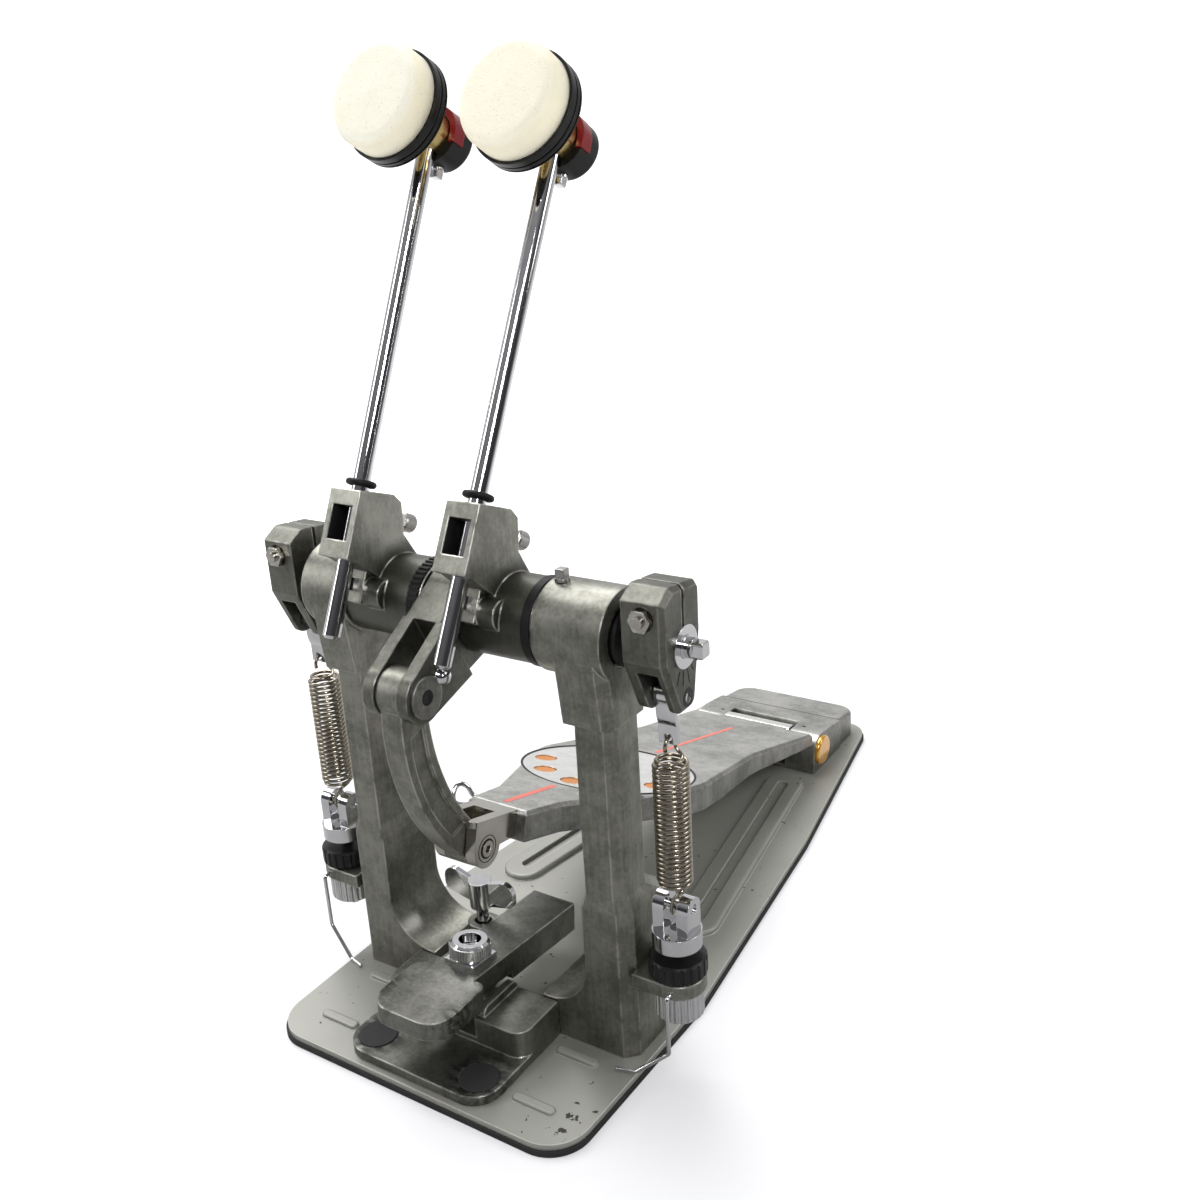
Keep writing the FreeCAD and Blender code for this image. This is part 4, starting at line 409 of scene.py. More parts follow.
chrome = bright_metal("chrome_plate", (0.7, 0.7, 0.715), 0.05, 0.035)
cam_steel = cam_fasteners("cam_fasteners")
nickel = bright_metal("warm_nickel", (0.36, 0.325, 0.265), 0.12, 0.16)
bracket_nickel = bright_metal("bracket_nickel", (0.46, 0.44, 0.395), 0.1, 0.12)
steel = bright_metal("screw_steel", (0.42, 0.41, 0.39), 0.15, 0.24)
brass = bright_metal("brass", (0.66, 0.49, 0.21), 0.15, 0.2)
disc_metal = bright_metal("brushed_disc", (0.84, 0.84, 0.82), 0.08, 0.2)
thread = threaded("chrome_thread", (0.74, 0.74, 0.75))
print("finishes", [each.name for each in (chrome, nickel, bracket_nickel, steel, brass, disc_metal, thread)])

# %% [markdown]
# ## Painted plate
# The base plate has a champagne grey paint with a fine metal flake. Shoes and hoops chip it: dark
# spots, thickest at the corner on the drum's right, and a bare bright line along the rim.

# %% Plate paint
CHIPPED_CORNER = {"x": 84 * MM, "y": -66 * MM}
CHIPPED_REACH = (4 * MM, 30 * MM)
CHIP_SIZE = 4.2 * MM
CHIP_DARK = (0.05, 0.047, 0.042)
CHIPPED = (0.71, 0.725)
PLATE_EDGE = 0.8 * MM
PLATE_CLOUD = 60 * MM
PLATE_TONES = ((0.25, 0.25, 0.225), (0.34, 0.34, 0.31))
PLATE_RIM = (0.72, 0.71, 0.67)
GRIME_SIZE = 22 * MM
GRIME = (0.24, 0.24, 0.21)
GRIMY = (0.52, 0.78)
FLAKE_SIZE = 0.5 * MM
PAINT_DEPTH = 0.06 * MM


def plate_paint(name):
    finish = Finish(name)
    soft = finish.rounded(PLATE_EDGE)
    flake = finish.clouds(FLAKE_SIZE, detail=2)
    grime = finish.step(finish.clouds(GRIME_SIZE, detail=5), *GRIMY)
    corner = 1 - finish.step(finish.distance(**CHIPPED_CORNER), *CHIPPED_REACH)
    chips = finish.step(finish.clouds(CHIP_SIZE) + 0.1 * corner, *CHIPPED)
    coat = finish.mix(finish.clouds(PLATE_CLOUD), *[paint(colour) for colour in PLATE_TONES])
    dirty = finish.mix(0.35 * grime, coat, paint(GRIME))
    rim = finish.mix(finish.edges(soft), dirty, paint(PLATE_RIM))
    finish.look(base_color=finish.mix(chips, rim, paint(CHIP_DARK)), metallic=0.28,
                roughness=0.38 + 0.1 * flake + 0.3 * chips,
                normal=finish.bumps(0.2 * flake - chips, PAINT_DEPTH, soft))
    return finish.material


champagne = plate_paint("champagne_paint")
print("finish", champagne.name)

# %% [markdown]
# ## Rubber, plastic and enamel
# These are dark or strongly coloured and not metal. Rubber scatters light and has a fine grain; the
# moulded plastic is smoother, with worn edges; the red clips have a glossy skin. The amber caps are
# glossy too, and part metal, as if foil lay under a clear skin.

# %% Non-metals
MOULDED_EDGE = 0.5 * MM
DUST_SIZE = 12 * MM
DUSTY = (0.5, 0.8)
BLACK = (0.009, 0.009, 0.009)
RUBBED_BLACK = (0.035, 0.035, 0.033)


def moulded(name, colour, worn, roughness, grain_size, depth, coat=0.0, shine=0.5, metal=0.0):
    finish = Finish(name)
    soft = finish.rounded(MOULDED_EDGE)
    dust = finish.step(finish.clouds(DUST_SIZE, detail=4), *DUSTY)
    colour = finish.mix(0.25 * dust + 0.3 * finish.edges(soft), paint(colour), paint(worn))
    finish.look(base_color=colour, roughness=roughness + 0.12 * dust, coat_weight=coat, metallic=metal,
                specular_ior_level=shine, normal=finish.bumps(finish.clouds(grain_size), depth, soft))
    return finish.material


black_plastic = moulded("black_plastic", BLACK, RUBBED_BLACK, 0.3, 0.8 * MM, 0.02 * MM, shine=0.25)
ring_rubber = moulded("ring_rubber", BLACK, RUBBED_BLACK, 0.45, 1.2 * MM, 0.03 * MM, shine=0.2)
mat_rubber = moulded("mat_rubber", (0.014, 0.014, 0.014), (0.06, 0.058, 0.055), 0.72, 1.5 * MM, 0.1 * MM)
red_plastic = moulded("red_plastic", (0.17, 0.004, 0.007), (0.3, 0.02, 0.02), 0.26, 2 * MM, 0.01 * MM,
                      coat=0.25, shine=0.3)
orange_rubber = moulded("orange_rubber", (0.52, 0.2, 0.05), (0.42, 0.19, 0.08), 0.45, 0.9 * MM, 0.03 * MM)
amber = moulded("amber_cap", (0.68, 0.33, 0.035), (0.8, 0.46, 0.1), 0.15, 3 * MM, 0.02 * MM,
                coat=1.0, metal=0.65)
stripe_red = moulded("stripe_enamel", (0.66, 0.135, 0.095), (0.5, 0.16, 0.12), 0.4, 1.1 * MM, 0.04 * MM)
print("finishes", [each.name for each in (black_plastic, mat_rubber, red_plastic, orange_rubber, amber)])

# %% [markdown]
# ## Hand each node its finish
# The record says which material slot each solid belongs to, so one table from slot to finish dresses
# them. A second table names the few that wear differently from the rest of their slot.

# %% Dress the solids
FINISHES = {
    "cast_aluminium": casting,
    "chrome": chrome,
    "nickel": nickel,
    "plate_paint": champagne,
    "screw_steel": steel,
    "mat_rubber": mat_rubber,
    "ring_rubber": ring_rubber,
    "black_plastic": black_plastic,
    "brass": brass,
    "red_plastic": red_plastic,
    "disc_metal": disc_metal,
    "orange_rubber": orange_rubber,
    "amber_cap": amber,
}
SPECIAL = {
    "footboard": board_casting,
    "heel_block": board_casting,
    "hinge_block": board_casting,
    "link_pin": board_casting,
    "drive_arm": shaded_casting,
    "cam_left": shaded_casting,
    "cam_right": shaded_casting,
    "hub_left": hub_casting,
    "hub_right": hub_casting,
    "clamp_base": clamp_casting,
    "clamp_jaw": clamp_casting,
    "cam_bolts_left": cam_steel,
    "cam_bolts_right": cam_steel,
    "hinge_rod": disc_metal,
    "toe_bracket": bracket_nickel,
    "toe_pin": bracket_nickel,
    "tension_rods": thread,
    "clamp_stud": thread,
}


def dress(piece, material):
    piece.data.materials.clear()
    piece.data.materials.append(material)


slot_of = {part["node"]: part["material_slot"] for part in frame["record"]["subparts"]}
for name, node in nodes.items():
    if slot_of[name] in FINISHES:
        dress(node, SPECIAL.get(name, FINISHES[slot_of[name]]))
print("slots in use", sorted(set(slot_of.values())))

# %% [markdown]
# ## Coil springs
# A spring's upper hook swings with its hanger and its lower hook stays on the pin below. A copy of the
# solid coil, merged so that it shades smoothly, stands for the solid one.

# %% Springs
MERGE = 0.001 * MM


def as_object(name, shape, material):
    """Turn a bmesh into an object in the scene."""
    mesh = bpy.data.meshes.new(name)
    shape.to_mesh(mesh)
    shape.free()
    made = bpy.data.objects.new(name, mesh)
    bpy.context.scene.collection.objects.link(made)
    dress(made, material)
    return made


def from_bmesh(name, shape, body, material):
    """Turn a bmesh into a piece that rides on a body."""
    piece = as_object(name, shape, material)
    if body:
        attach(piece, body)
    return piece


def smooth(shape):
    for face in shape.faces:
        face.smooth = True


for side in ("left", "right"):
    coil = bmesh.new()
    coil.from_mesh(nodes[f"spring_{side}"].data)
    bmesh.ops.remove_doubles(coil, verts=coil.verts, dist=MERGE)
    smooth(coil)
    spring = from_bmesh(f"coil_spring_{side}", coil, None, nickel)
    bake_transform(spring)
    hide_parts(f"spring_{side}")
    print(f"coil_spring_{side}: {len(spring.data.vertices)} vertices")

# %% [markdown]
# ## Cream felt
# A beater's face is hard wool felt. Its finish is fibres, matted patches, a few dark specks and old
# stains, more of them on the right head. The flank is painted darker and yellower, partly painted
# shade and partly yellowing, and it is told from the face by the direction that it looks in.

# %% Felt finish
FELT_AHEAD = (0.0, -0.893, 0.45)
FELT_FLANK = (0.25, 0.9)
FELT_CREAM = ((0.89, 0.86, 0.7), (0.94, 0.92, 0.82))
FELT_WORN = (0.86, 0.7, 0.42)
FELT_FLANK_SHADE = (0.8, 0.73, 0.53)
FELT_SPECK = (0.45, 0.34, 0.2)
FIBRE_SIZE = 0.8 * MM
MATTED_SIZE = 4 * MM
FELT_STAIN = 22 * MM
STAINED = (0.55, 0.8)
SPECK_SIZE = 0.9 * MM
SPECKLED = (0.66, 0.73)
BETWEEN_HEADS = (-16 * MM, -12 * MM)
FELT_DEPTH = 0.5 * MM


def felt_finish(name):
    finish = Finish(name)
    fibre = finish.clouds(FIBRE_SIZE, detail=5)
    matted = finish.clouds(MATTED_SIZE, detail=4)
    stain = finish.step(finish.clouds(FELT_STAIN), *STAINED)
    specks = finish.step(finish.clouds(SPECK_SIZE, detail=2), *SPECKLED)
    older = finish.step(finish.axis("X"), *BETWEEN_HEADS)
    plain = finish.normal()
    flank = 1 - finish.step(finish.dot(plain, FELT_AHEAD), *FELT_FLANK)
    cream = finish.mix(matted, *[paint(colour) for colour in FELT_CREAM])
    worn = finish.mix(0.2 * stain + 0.5 * older * stain + 0.16 * older, cream, paint(FELT_WORN))
    # Painted shade, with some yellowing, on the flank.
    flank_shaded = finish.mix(0.6 * flank, worn, paint(FELT_FLANK_SHADE))
    finish.look(base_color=finish.mix(0.5 * specks, flank_shaded, paint(FELT_SPECK)), roughness=0.95,
                sheen_weight=0.2, normal=finish.bumps(0.7 * fibre + 0.3 * matted, FELT_DEPTH, plain))
    return finish.material


felt = felt_finish("cream_felt")
print("finish", felt.name)

# %% [markdown]
# ## Felt heads
# The head is a disc, slightly domed, with a soft round edge. We start from a cylinder, bevel its front
# edge, inset the front several times while pushing it out, and then move every point a little along
# its normal with noise, as felt is never quite even.

# %% Felt
ROD_OFFSET = 33.0 * MM
HEAD_ALONG = 208.8 * MM
# How far each beater's rod is let down in its hub
HEAD_DROP = {"left": 0.5 * MM, "right": 4.0 * MM}
FELT_RADIUS = 23.8 * MM
FELT_BACK = 24.5 * MM
FELT_FACE = 40.6 * MM
FELT_ROUND = 5.0 * MM
FELT_ROUND_STEPS = 8
FELT_SIDES = 128
DOME_RINGS = 7
DOME_STEP = 2.4 * MM
DOME_RISE = 0.09 * MM
FELT_UNEVEN = 0.18 * MM
LUMPS_PER_METRE = 120
TUFTS_PER_METRE = 420


def hub_frame(side):
    """The frame of a beater's hub on the axle, with Z along the rod, the way that the rod slides."""
    low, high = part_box(f"beater_rod_{side}")
    _, back, up = joints[f"beater_{side}_height"]["axis"]
    lean = Matrix.Rotation(-math.atan2(back, up), 4, "X")
    return Matrix.Translation(((low.x + high.x) / 2, 0, AXLE_HEIGHT)) @ lean


def head_place(side):
    """The frame at a beater head's centre: Y runs back from the felt and Z along the rod."""
    return hub_frame(side) @ Matrix.Translation((0, -ROD_OFFSET, HEAD_ALONG - HEAD_DROP[side]))


def foremost(shape):
    return max(shape.faces, key=lambda face: face.calc_center_median().z)


def felt_head(side):
    shape = bmesh.new()
    bmesh.ops.create_cone(shape, cap_ends=True, segments=FELT_SIDES, radius1=FELT_RADIUS, radius2=FELT_RADIUS,
                          depth=FELT_FACE - FELT_BACK)
    bmesh.ops.bevel(shape, geom=list(foremost(shape).edges), offset=FELT_ROUND, affect="EDGES",
                    segments=FELT_ROUND_STEPS, profile=0.5, material=-1)
    front = foremost(shape)
    for _ in range(DOME_RINGS):
        bmesh.ops.inset_region(shape, faces=[front], thickness=DOME_STEP, depth=DOME_RISE,
                               use_even_offset=True)
    bmesh.ops.triangulate(shape, faces=[front])
    shape.normal_update()
    for point in shape.verts:
        lumps = noise.noise(point.co * LUMPS_PER_METRE)
        tufts = noise.noise(point.co * TUFTS_PER_METRE)
        point.co += point.normal * (lumps + 0.6 * tufts) * FELT_UNEVEN
    centred = Matrix.Translation((0, -(FELT_FACE + FELT_BACK) / 2, 0))
    face_out = centred @ Matrix.Rotation(math.pi / 2, 4, "X")
    bmesh.ops.transform(shape, matrix=head_place(side) @ face_out, verts=shape.verts)
    smooth(shape)
    piece = from_bmesh(f"felt_head_{side}", shape, f"beater_{side}", felt)
    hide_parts(f"felt_{side}")
    return piece


for side in HEAD_DROP:
    head = felt_head(side)
    print(f"{head.name}: {len(head.data.polygons)} faces")

# %% [markdown]
# ## Small shapes to build with
# A few builders make most of the small parts: a bar with rounded edges, a profile spun about the
# upright axis, a ring, and a square-headed key screw. Their sizes are millimetres. Each is drawn about
# its own origin, and a matrix then carries it to its place.

# %% Builders for small parts
RING_STEPS = 96
EDGE_STEPS = 2


def at(x, y, z):
    """A move in millimetres."""
    return Matrix.Translation((x * MM, y * MM, z * MM))


def bar(width, length, height, edge):
    """A bar about its own centre with rounded edges."""
    shape = bmesh.new()
    bmesh.ops.create_cube(shape, size=1.0)
    bmesh.ops.scale(shape, vec=(width * MM, length * MM, height * MM), verts=shape.verts)
    bmesh.ops.bevel(shape, geom=list(shape.edges), offset=edge * MM, affect="EDGES", segments=EDGE_STEPS,
                    profile=0.5, material=-1)
    return shape


def turned(profile, steps):
    """Spin a closed profile of (radius, height) points about Z."""
    shape = bmesh.new()
    points = [shape.verts.new((radius * MM, 0, height * MM)) for radius, height in profile]
    edges = [shape.edges.new(pair) for pair in zip(points, points[1:] + points[:1])]
    bmesh.ops.spin(shape, geom=points + edges, cent=(0, 0, 0), axis=(0, 0, 1), angle=math.tau, steps=steps,
                   use_merge=True)
    bmesh.ops.remove_doubles(shape, verts=shape.verts, dist=MERGE)
    bmesh.ops.dissolve_degenerate(shape, edges=shape.edges, dist=MERGE)
    bmesh.ops.recalc_face_normals(shape, faces=shape.faces)
    return shape


def hoop(inner, outer, width, edge):
    """A ring whose corners are cut off, about its own centre."""
    half = width / 2
    return turned([(inner, -half), (outer - edge, -half), (outer, edge - half), (outer, half - edge),
                   (outer - edge, half), (inner, half)], RING_STEPS)


print("rings are spun in", RING_STEPS, "steps")

# %% [markdown]
# ## Joining and placing
# A piece may hold several shapes. Each is carried to its place, and the whole then rides on one body of
# the pedal. Places are measured from the solids' own corners and from the axle where that is possible,
# so that the small parts stay with what they sit on.

# %% Joining and placing
SIGN = {"left": -1, "right": 1}
AXLE_OF = {"left": "left_axle", "right": "main_axle"}
FACE_X = Matrix.Rotation(math.pi / 2, 4, "Y")
FACE_BACK = Matrix.Rotation(-math.pi / 2, 4, "X")
FACE_DOWN = Matrix.Rotation(math.pi, 4, "X")


def joined(shapes):
    """Put several shapes, each with its own matrix, into one."""
    whole = bmesh.new()
    for shape, matrix in shapes:
        bmesh.ops.transform(shape, matrix=matrix, verts=shape.verts)
        mesh = bpy.data.meshes.new("loose")
        shape.to_mesh(mesh)
        shape.free()
        whole.from_mesh(mesh)
        bpy.data.meshes.remove(mesh)
    return whole


def put(name, shapes, body, material):
    """Make one piece of shapes that each come with a matrix."""
    return from_bmesh(name, joined(shapes), body, material)


def on_axle(x):
    """A frame on the axle's line, with Z along the axle."""
    return at(x, 0, AXLE_LEVEL) @ FACE_X


def corners(node):
    """The lowest and highest corner of a solid, in millimetres."""
    return [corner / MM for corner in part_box(node)]


print("builders ready")

# %% [markdown]
# ## Marks on the footboard and the cams
# Two red stripes are let into the footboard's middle line, and each cam has five engraved ticks below
# its washer for setting the angle. The board is a frame of its own: it starts at the hinge and climbs
# towards the axle. A black ring round the pin at a cam's lower eye is painted shade for the hole, which
# is wider than the pin in it.

# %% Stripes, ticks and eyes
BOARD_SLOPE = 15.4
BOARD = at(*pivot("footboard_hinge")) @ Matrix.Rotation(-math.radians(BOARD_SLOPE), 4, "X")
BOARD_TOP = 11.8
# For each stripe its middle along the board, its length and its width
STRIPES = ((-272.5, 43.0, 3.4), (-94.5, 101.7, 2.8))
STRIPE_THICK = 0.5
STRIPE_PROUD = 0.12
STRIPE_EDGE = 0.15
CAM_FACE = corners("cam_right")[1].x
# For each tick its angle from straight down, in degrees, and how far it reaches from the axle
TICKS = ((-24, 16.5), (-6.5, 16.8), (11, 17.6), (28.5, 14.8), (46, 14.4))
TICK_START = 10.6
TICK_WIDE = 0.55
TICK_THICK = 0.3
TICK_EDGE = 0.06
CAM_EYE = pivot("hanger_right_pivot")[1:]
CAM_EYE_SHADE_RING = (2.5, 4.2, 0.3, 0.1)

level = BOARD_TOP + STRIPE_PROUD - STRIPE_THICK / 2
stripes = [(bar(wide, long, STRIPE_THICK, STRIPE_EDGE), BOARD @ at(0, middle, level))
           for middle, long, wide in STRIPES]
put("board_stripes", stripes, "board", stripe_red)

for side, sign in SIGN.items():
    marks = []
    for angle, reach in TICKS:
        line = bar(TICK_THICK, TICK_WIDE, reach - TICK_START, TICK_EDGE)
        spoke = Matrix.Rotation(math.radians(angle), 4, "X") @ at(0, 0, -(reach + TICK_START) / 2)
        marks.append((line, at(sign * CAM_FACE, 0, AXLE_LEVEL) @ spoke))
    put(f"cam_ticks_{side}", marks, AXLE_OF[side], black_plastic)
    # A black ring at the eye is painted shade for the hole.
    eye_place = at(sign * CAM_FACE, *CAM_EYE) @ FACE_X
    put(f"cam_eye_{side}", [(hoop(*CAM_EYE_SHADE_RING), eye_place)], AXLE_OF[side], black_plastic)
print("stripes, ticks and eyes done")

# %% [markdown]
# ## Rings along the axles
# Between the hubs and the castings beside them run black rings, and each axle bearing has a rubber seal
# towards its cam. The plain ring on the right is painted shade for the dark gap before the bearing boss.
# One ring is serrated: teeth are quickest made by pushing out every second face of a plain ring's rim.

# %% Rings and seals
SLEEVE_RADIUS = 19.5
SLEEVE_GAP = 0.05
TOOTHED_X = -16.4
TOOTHED_PROUD = 0.5
TOOTHED_WIDE = 6.0
TOOTH_EDGE = 0.2
TOOTH_INSET = 0.12
TOOTH_RISE = 0.6
PLAIN_X = 46.1
PLAIN_PROUD = 0.7
PLAIN_WIDE = 4.6
PLAIN_EDGE = 0.3
SEAL_OUT = 0.3
SEAL_X = corners("post_right")[1].x + SEAL_OUT
SEAL = (5.6, 13.2, 2.4, 0.7)
NEARLY_LEVEL = 0.1


def serrated(inner, outer, width):
    """A ring whose rim rises in teeth: every second face of the rim is pushed out."""
    shape = hoop(inner, outer, width, TOOTH_EDGE)
    upright = [face for face in shape.faces if abs(face.normal.z) < NEARLY_LEVEL]
    rim = [face for face in upright if face.normal.dot(face.calc_center_median()) > 0]
    rim.sort(key=lambda face: math.atan2(face.calc_center_median().y, face.calc_center_median().x))
    bmesh.ops.inset_individual(shape, faces=rim[::2], thickness=TOOTH_INSET * MM, depth=TOOTH_RISE * MM)
    return shape


bore = SLEEVE_RADIUS + SLEEVE_GAP
toothed = serrated(bore, SLEEVE_RADIUS + TOOTHED_PROUD, TOOTHED_WIDE)
put("sleeve_ring_left", [(toothed, on_axle(TOOTHED_X))], "left_axle", ring_rubber)
# Painted shade: a black ring where the gap before the boss is dark.
plain = hoop(bore, SLEEVE_RADIUS + PLAIN_PROUD, PLAIN_WIDE, PLAIN_EDGE)
put("sleeve_gap_shade_right", [(plain, on_axle(PLAIN_X))], "main_axle", ring_rubber)
for side, sign in SIGN.items():
    put(f"bearing_seal_{side}", [(hoop(*SEAL), on_axle(sign * SEAL_X))], "frame", ring_rubber)
print("rings and seals done")

# %% [markdown]
# ## What the hubs carry
# A black sheet on one side of a hub's window is painted shade, so that the chrome rod stands out in it.
# A dark dish in the ear below it is painted shade for its hole, and at the hub's back is a thumb screw
# that grips the rod. Each is drawn in the hub's own frame, which leans with its rod.

# %% Window shade, ear shade and thumb screws
HUB_WALL = (0.3, 10.2, 15.4, 0.08)
HUB_WALL_AT = (-5.8, -36.4, 26.0)
EAR_SHADE_DISH = ((0, 0), (2.6, 0), (2.6, 0.15), (2.3, 0.22), (0, 0.05))
EAR_SHADE_DISH_AT = (13.7, -17.0, -2.0)
THUMB_SCREW = ((0, 0), (4.0, 0), (4.6, 0.6), (4.6, 7.0), (4.0, 7.6), (3.2, 7.6), (2.8, 7.0), (0, 7.0))
THUMB_SCREW_AT = (0, -2.4, 33.4)
THUMB_STEPS = 40

for side, axle in AXLE_OF.items():
    hub = hub_frame(side)
    # A black sheet in the window is painted shade.
    wall = [(bar(*HUB_WALL), hub @ at(*HUB_WALL_AT))]
    put(f"hub_window_shade_{side}", wall, axle, black_plastic)
    # A dark dish at the ear is painted shade for its hole.
    hole_shade = [(turned(EAR_SHADE_DISH, THUMB_STEPS), hub @ at(*EAR_SHADE_DISH_AT) @ FACE_X)]
    put(f"ear_shade_dish_{side}", hole_shade, axle, ring_rubber)
    thumb = [(turned(THUMB_SCREW, THUMB_STEPS), hub @ at(*THUMB_SCREW_AT) @ FACE_BACK)]
    put(f"thumb_screw_{side}", thumb, axle, steel)
print("linings, ear holes and thumb screws done")

# %% [markdown]
# ## Grooves, a knurl and slot floors
# A black ring sunk round the foot disc is painted shade for a groove, and two such rings round each end
# of the toe pin are painted shade for its grooves. The clamp's nut has a knurled rim, which the ring with
# teeth serves for as well. The slots of the plate's two rails have a painted floor a little below their
# edges, laid along each rail's own slant.

# %% Grooves, knurl and floors
DISC_MIDDLE = -197.9
DISC_GROOVE_SHADE = (47.7, 49.0, 0.5, 0.1)
GROOVE_SINK = 0.15
TOE_PIN = (-17.0, 103.0)
PIN_GROOVES = ((4.1, 4.9), (6.3, 6.7))
PIN_GROOVE_SINK = 0.05
TOE_FACE = corners("toe_bracket")[1].x - PIN_GROOVE_SINK
PIN_GROOVE_WIDE = 0.4
PIN_GROOVE_EDGE = 0.1
JAW_SLOPE = 5.15
JAW = at(*pivot("jaw_tilt")) @ Matrix.Rotation(-math.radians(JAW_SLOPE), 4, "X")
KNURL = (9.5, 9.75, 6.2)
KNURL_LIFT = 14.1
RAIL_FLOOR = (7.0, 172.0, 1.6, 0.3)
RAIL_MIDDLE = (46.5, 179.0, 5.6)
RAIL_DRIFT = 27.0
RAIL_RUN = 186.0
RAIL_LEAN = math.atan2(RAIL_DRIFT, RAIL_RUN)

# Painted shade: black rings where the grooves are.
groove_place = BOARD @ at(0, DISC_MIDDLE, BOARD_TOP - GROOVE_SINK)
put("disc_groove_shade", [(hoop(*DISC_GROOVE_SHADE), groove_place)], "board", ring_rubber)
for side, sign in SIGN.items():
    pin_place = at(sign * TOE_FACE, *TOE_PIN) @ FACE_X
    rings = [(hoop(*groove, PIN_GROOVE_WIDE, PIN_GROOVE_EDGE), pin_place) for groove in PIN_GROOVES]
    put(f"pin_groove_shade_{side}", rings, "board", ring_rubber)
put("clamp_knurl", [(serrated(*KNURL), JAW @ at(0, 0, KNURL_LIFT))], "jaw", chrome)
rail_x, rail_y, rail_z = RAIL_MIDDLE
for side, sign in SIGN.items():
    rail_place = at(sign * rail_x, rail_y, rail_z) @ Matrix.Rotation(sign * RAIL_LEAN, 4, "Z")
    put(f"rail_floor_{side}", [(bar(*RAIL_FLOOR), rail_place)], "frame", champagne)
print("grooves, knurl and floors done")

# %% [markdown]
# ## The heel hinge
# In the heel's window a polished sleeve lies over the hinge rod, with a dark pin on each side of it and
# a dark seam behind. The sleeve is open below, so a small rectangle is spun through part of a turn and
# its two ends are filled. Only edges that are sharp keep a crease.

# %% Sleeve, seam and pins
SLEEVE_INNER = 7.9
SLEEVE_OUTER = 12.0
SLEEVE_HALF = 24.2
SLEEVE_FIRST = math.radians(10)
SLEEVE_LAST = math.radians(145)
SLEEVE_STEPS = 36
SHARP = math.radians(40)
SEAM_THICK = 0.6
SEAM_EDGE = 0.05
SEAM_SIDE = 0.1
SEAM_TOP = 0.08
SEAM_FOOT = 0.18
PIN_END = ((0, 0), (1.25, 0), (1.25, 0.4), (1.0, 0.5), (0, 0.5))
PIN_END_AT = (31.0, 301.0, 29.8)
PIN_STEPS = 24


def open_sleeve():
    """Part of a tube about X, open below."""
    shape = bmesh.new()
    section = ((-SLEEVE_HALF, SLEEVE_INNER), (-SLEEVE_HALF, SLEEVE_OUTER),
               (SLEEVE_HALF, SLEEVE_OUTER), (SLEEVE_HALF, SLEEVE_INNER))
    points = [shape.verts.new((x * MM, reach * MM, 0)) for x, reach in section]
    edges = [shape.edges.new(pair) for pair in zip(points, points[1:] + points[:1])]
    bmesh.ops.rotate(shape, cent=(0, 0, 0), matrix=Matrix.Rotation(SLEEVE_FIRST, 3, "X"), verts=points)
    bmesh.ops.spin(shape, geom=points + edges, cent=(0, 0, 0), axis=(1, 0, 0),
                   angle=SLEEVE_LAST - SLEEVE_FIRST, steps=SLEEVE_STEPS)
    bmesh.ops.holes_fill(shape, edges=shape.edges, sides=len(section))
    bmesh.ops.recalc_face_normals(shape, faces=shape.faces)
    smooth(shape)
    for edge in shape.edges:
        edge.smooth = edge.calc_face_angle(math.pi) < SHARP
    return shape


put("hinge_sleeve", [(open_sleeve(), BOARD)], "board", disc_metal)
heel_low, heel_high = corners("heel_block")
seam_wide = heel_high.x - heel_low.x + 2 * SEAM_SIDE
seam_y = (corners("hinge_block")[1].y + heel_low.y) / 2
seam_low, seam_high = heel_low.z + SEAM_FOOT, heel_high.z + SEAM_TOP
seam = bar(seam_wide, SEAM_THICK, seam_high - seam_low, SEAM_EDGE)
seam_place = at(0, seam_y, (seam_low + seam_high) / 2)
put("heel_seam", [(seam, seam_place)], "frame", ring_rubber)
pin_x, pin_y, pin_z = PIN_END_AT
pins = [(turned(PIN_END, PIN_STEPS), at(sign * pin_x, pin_y, pin_z)) for sign in SIGN.values()]
put("hinge_pins", pins, "frame", ring_rubber)
print("heel hinge done")

# %% [markdown]
# ## Key screws and sockets
# A drum key turns square heads: one stands on the right bearing boss and one under each beater's
# barrel. Such a screw is a bar on a spun collar, sized by its head. The arm carries a domed screw beside
# the link's pin, and a black dish in the pin is painted shade for its socket; both are spun.

# %% Screws and socket
COLLAR_WIDE = 1.45
COLLAR_TAPER = 0.9
COLLAR_RIM = 0.24
COLLAR_TOP = 0.3
COLLAR_STEPS = 40
HEAD_HIGH = 0.75
HEAD_EDGE = 0.16
BOSS_SCREW = (2.3, 5.6)
BOSS_SCREW_AT = (55.0, -2.0, 237.7)
BARREL_SCREW = (2.2, 5.0)
BARREL_SCREW_AT = (0, 9.8, -12.9)
ARM_SCREW = ((0, 0), (4.6, 0), (4.6, 1.2), (3.7, 1.5), (3.5, 3.0), (2.6, 4.2), (1.2, 4.7), (0, 4.8))
ARM_SCREW_AT = (corners("drive_arm")[1].x, -37.1, 199.6)
LINK_SOCKET_SHADE = ((0, 0), (3.5, 0), (3.5, 0.2), (3.2, 0.3), (0, 0.1))
SOCKET_SINK = 0.1
LINK_SOCKET_SHADE_AT = (corners("link_pin")[1].x - SOCKET_SINK, *pivot("link_pivot")[1:])
SOCKET_STEPS = 48


def key_screw(half, length, place):
    """A square head on a round collar, standing up from a place."""
    wide = half * COLLAR_WIDE
    rim, top = COLLAR_RIM * length, COLLAR_TOP * length
    collar = turned([(0, 0), (wide, 0), (wide, rim), (wide * COLLAR_TAPER, top), (0, top)], COLLAR_STEPS)
    head = bar(2 * half, 2 * half, HEAD_HIGH * length, HEAD_EDGE * half)
    return [(collar, place), (head, place @ at(0, 0, (1 - HEAD_HIGH / 2) * length))]


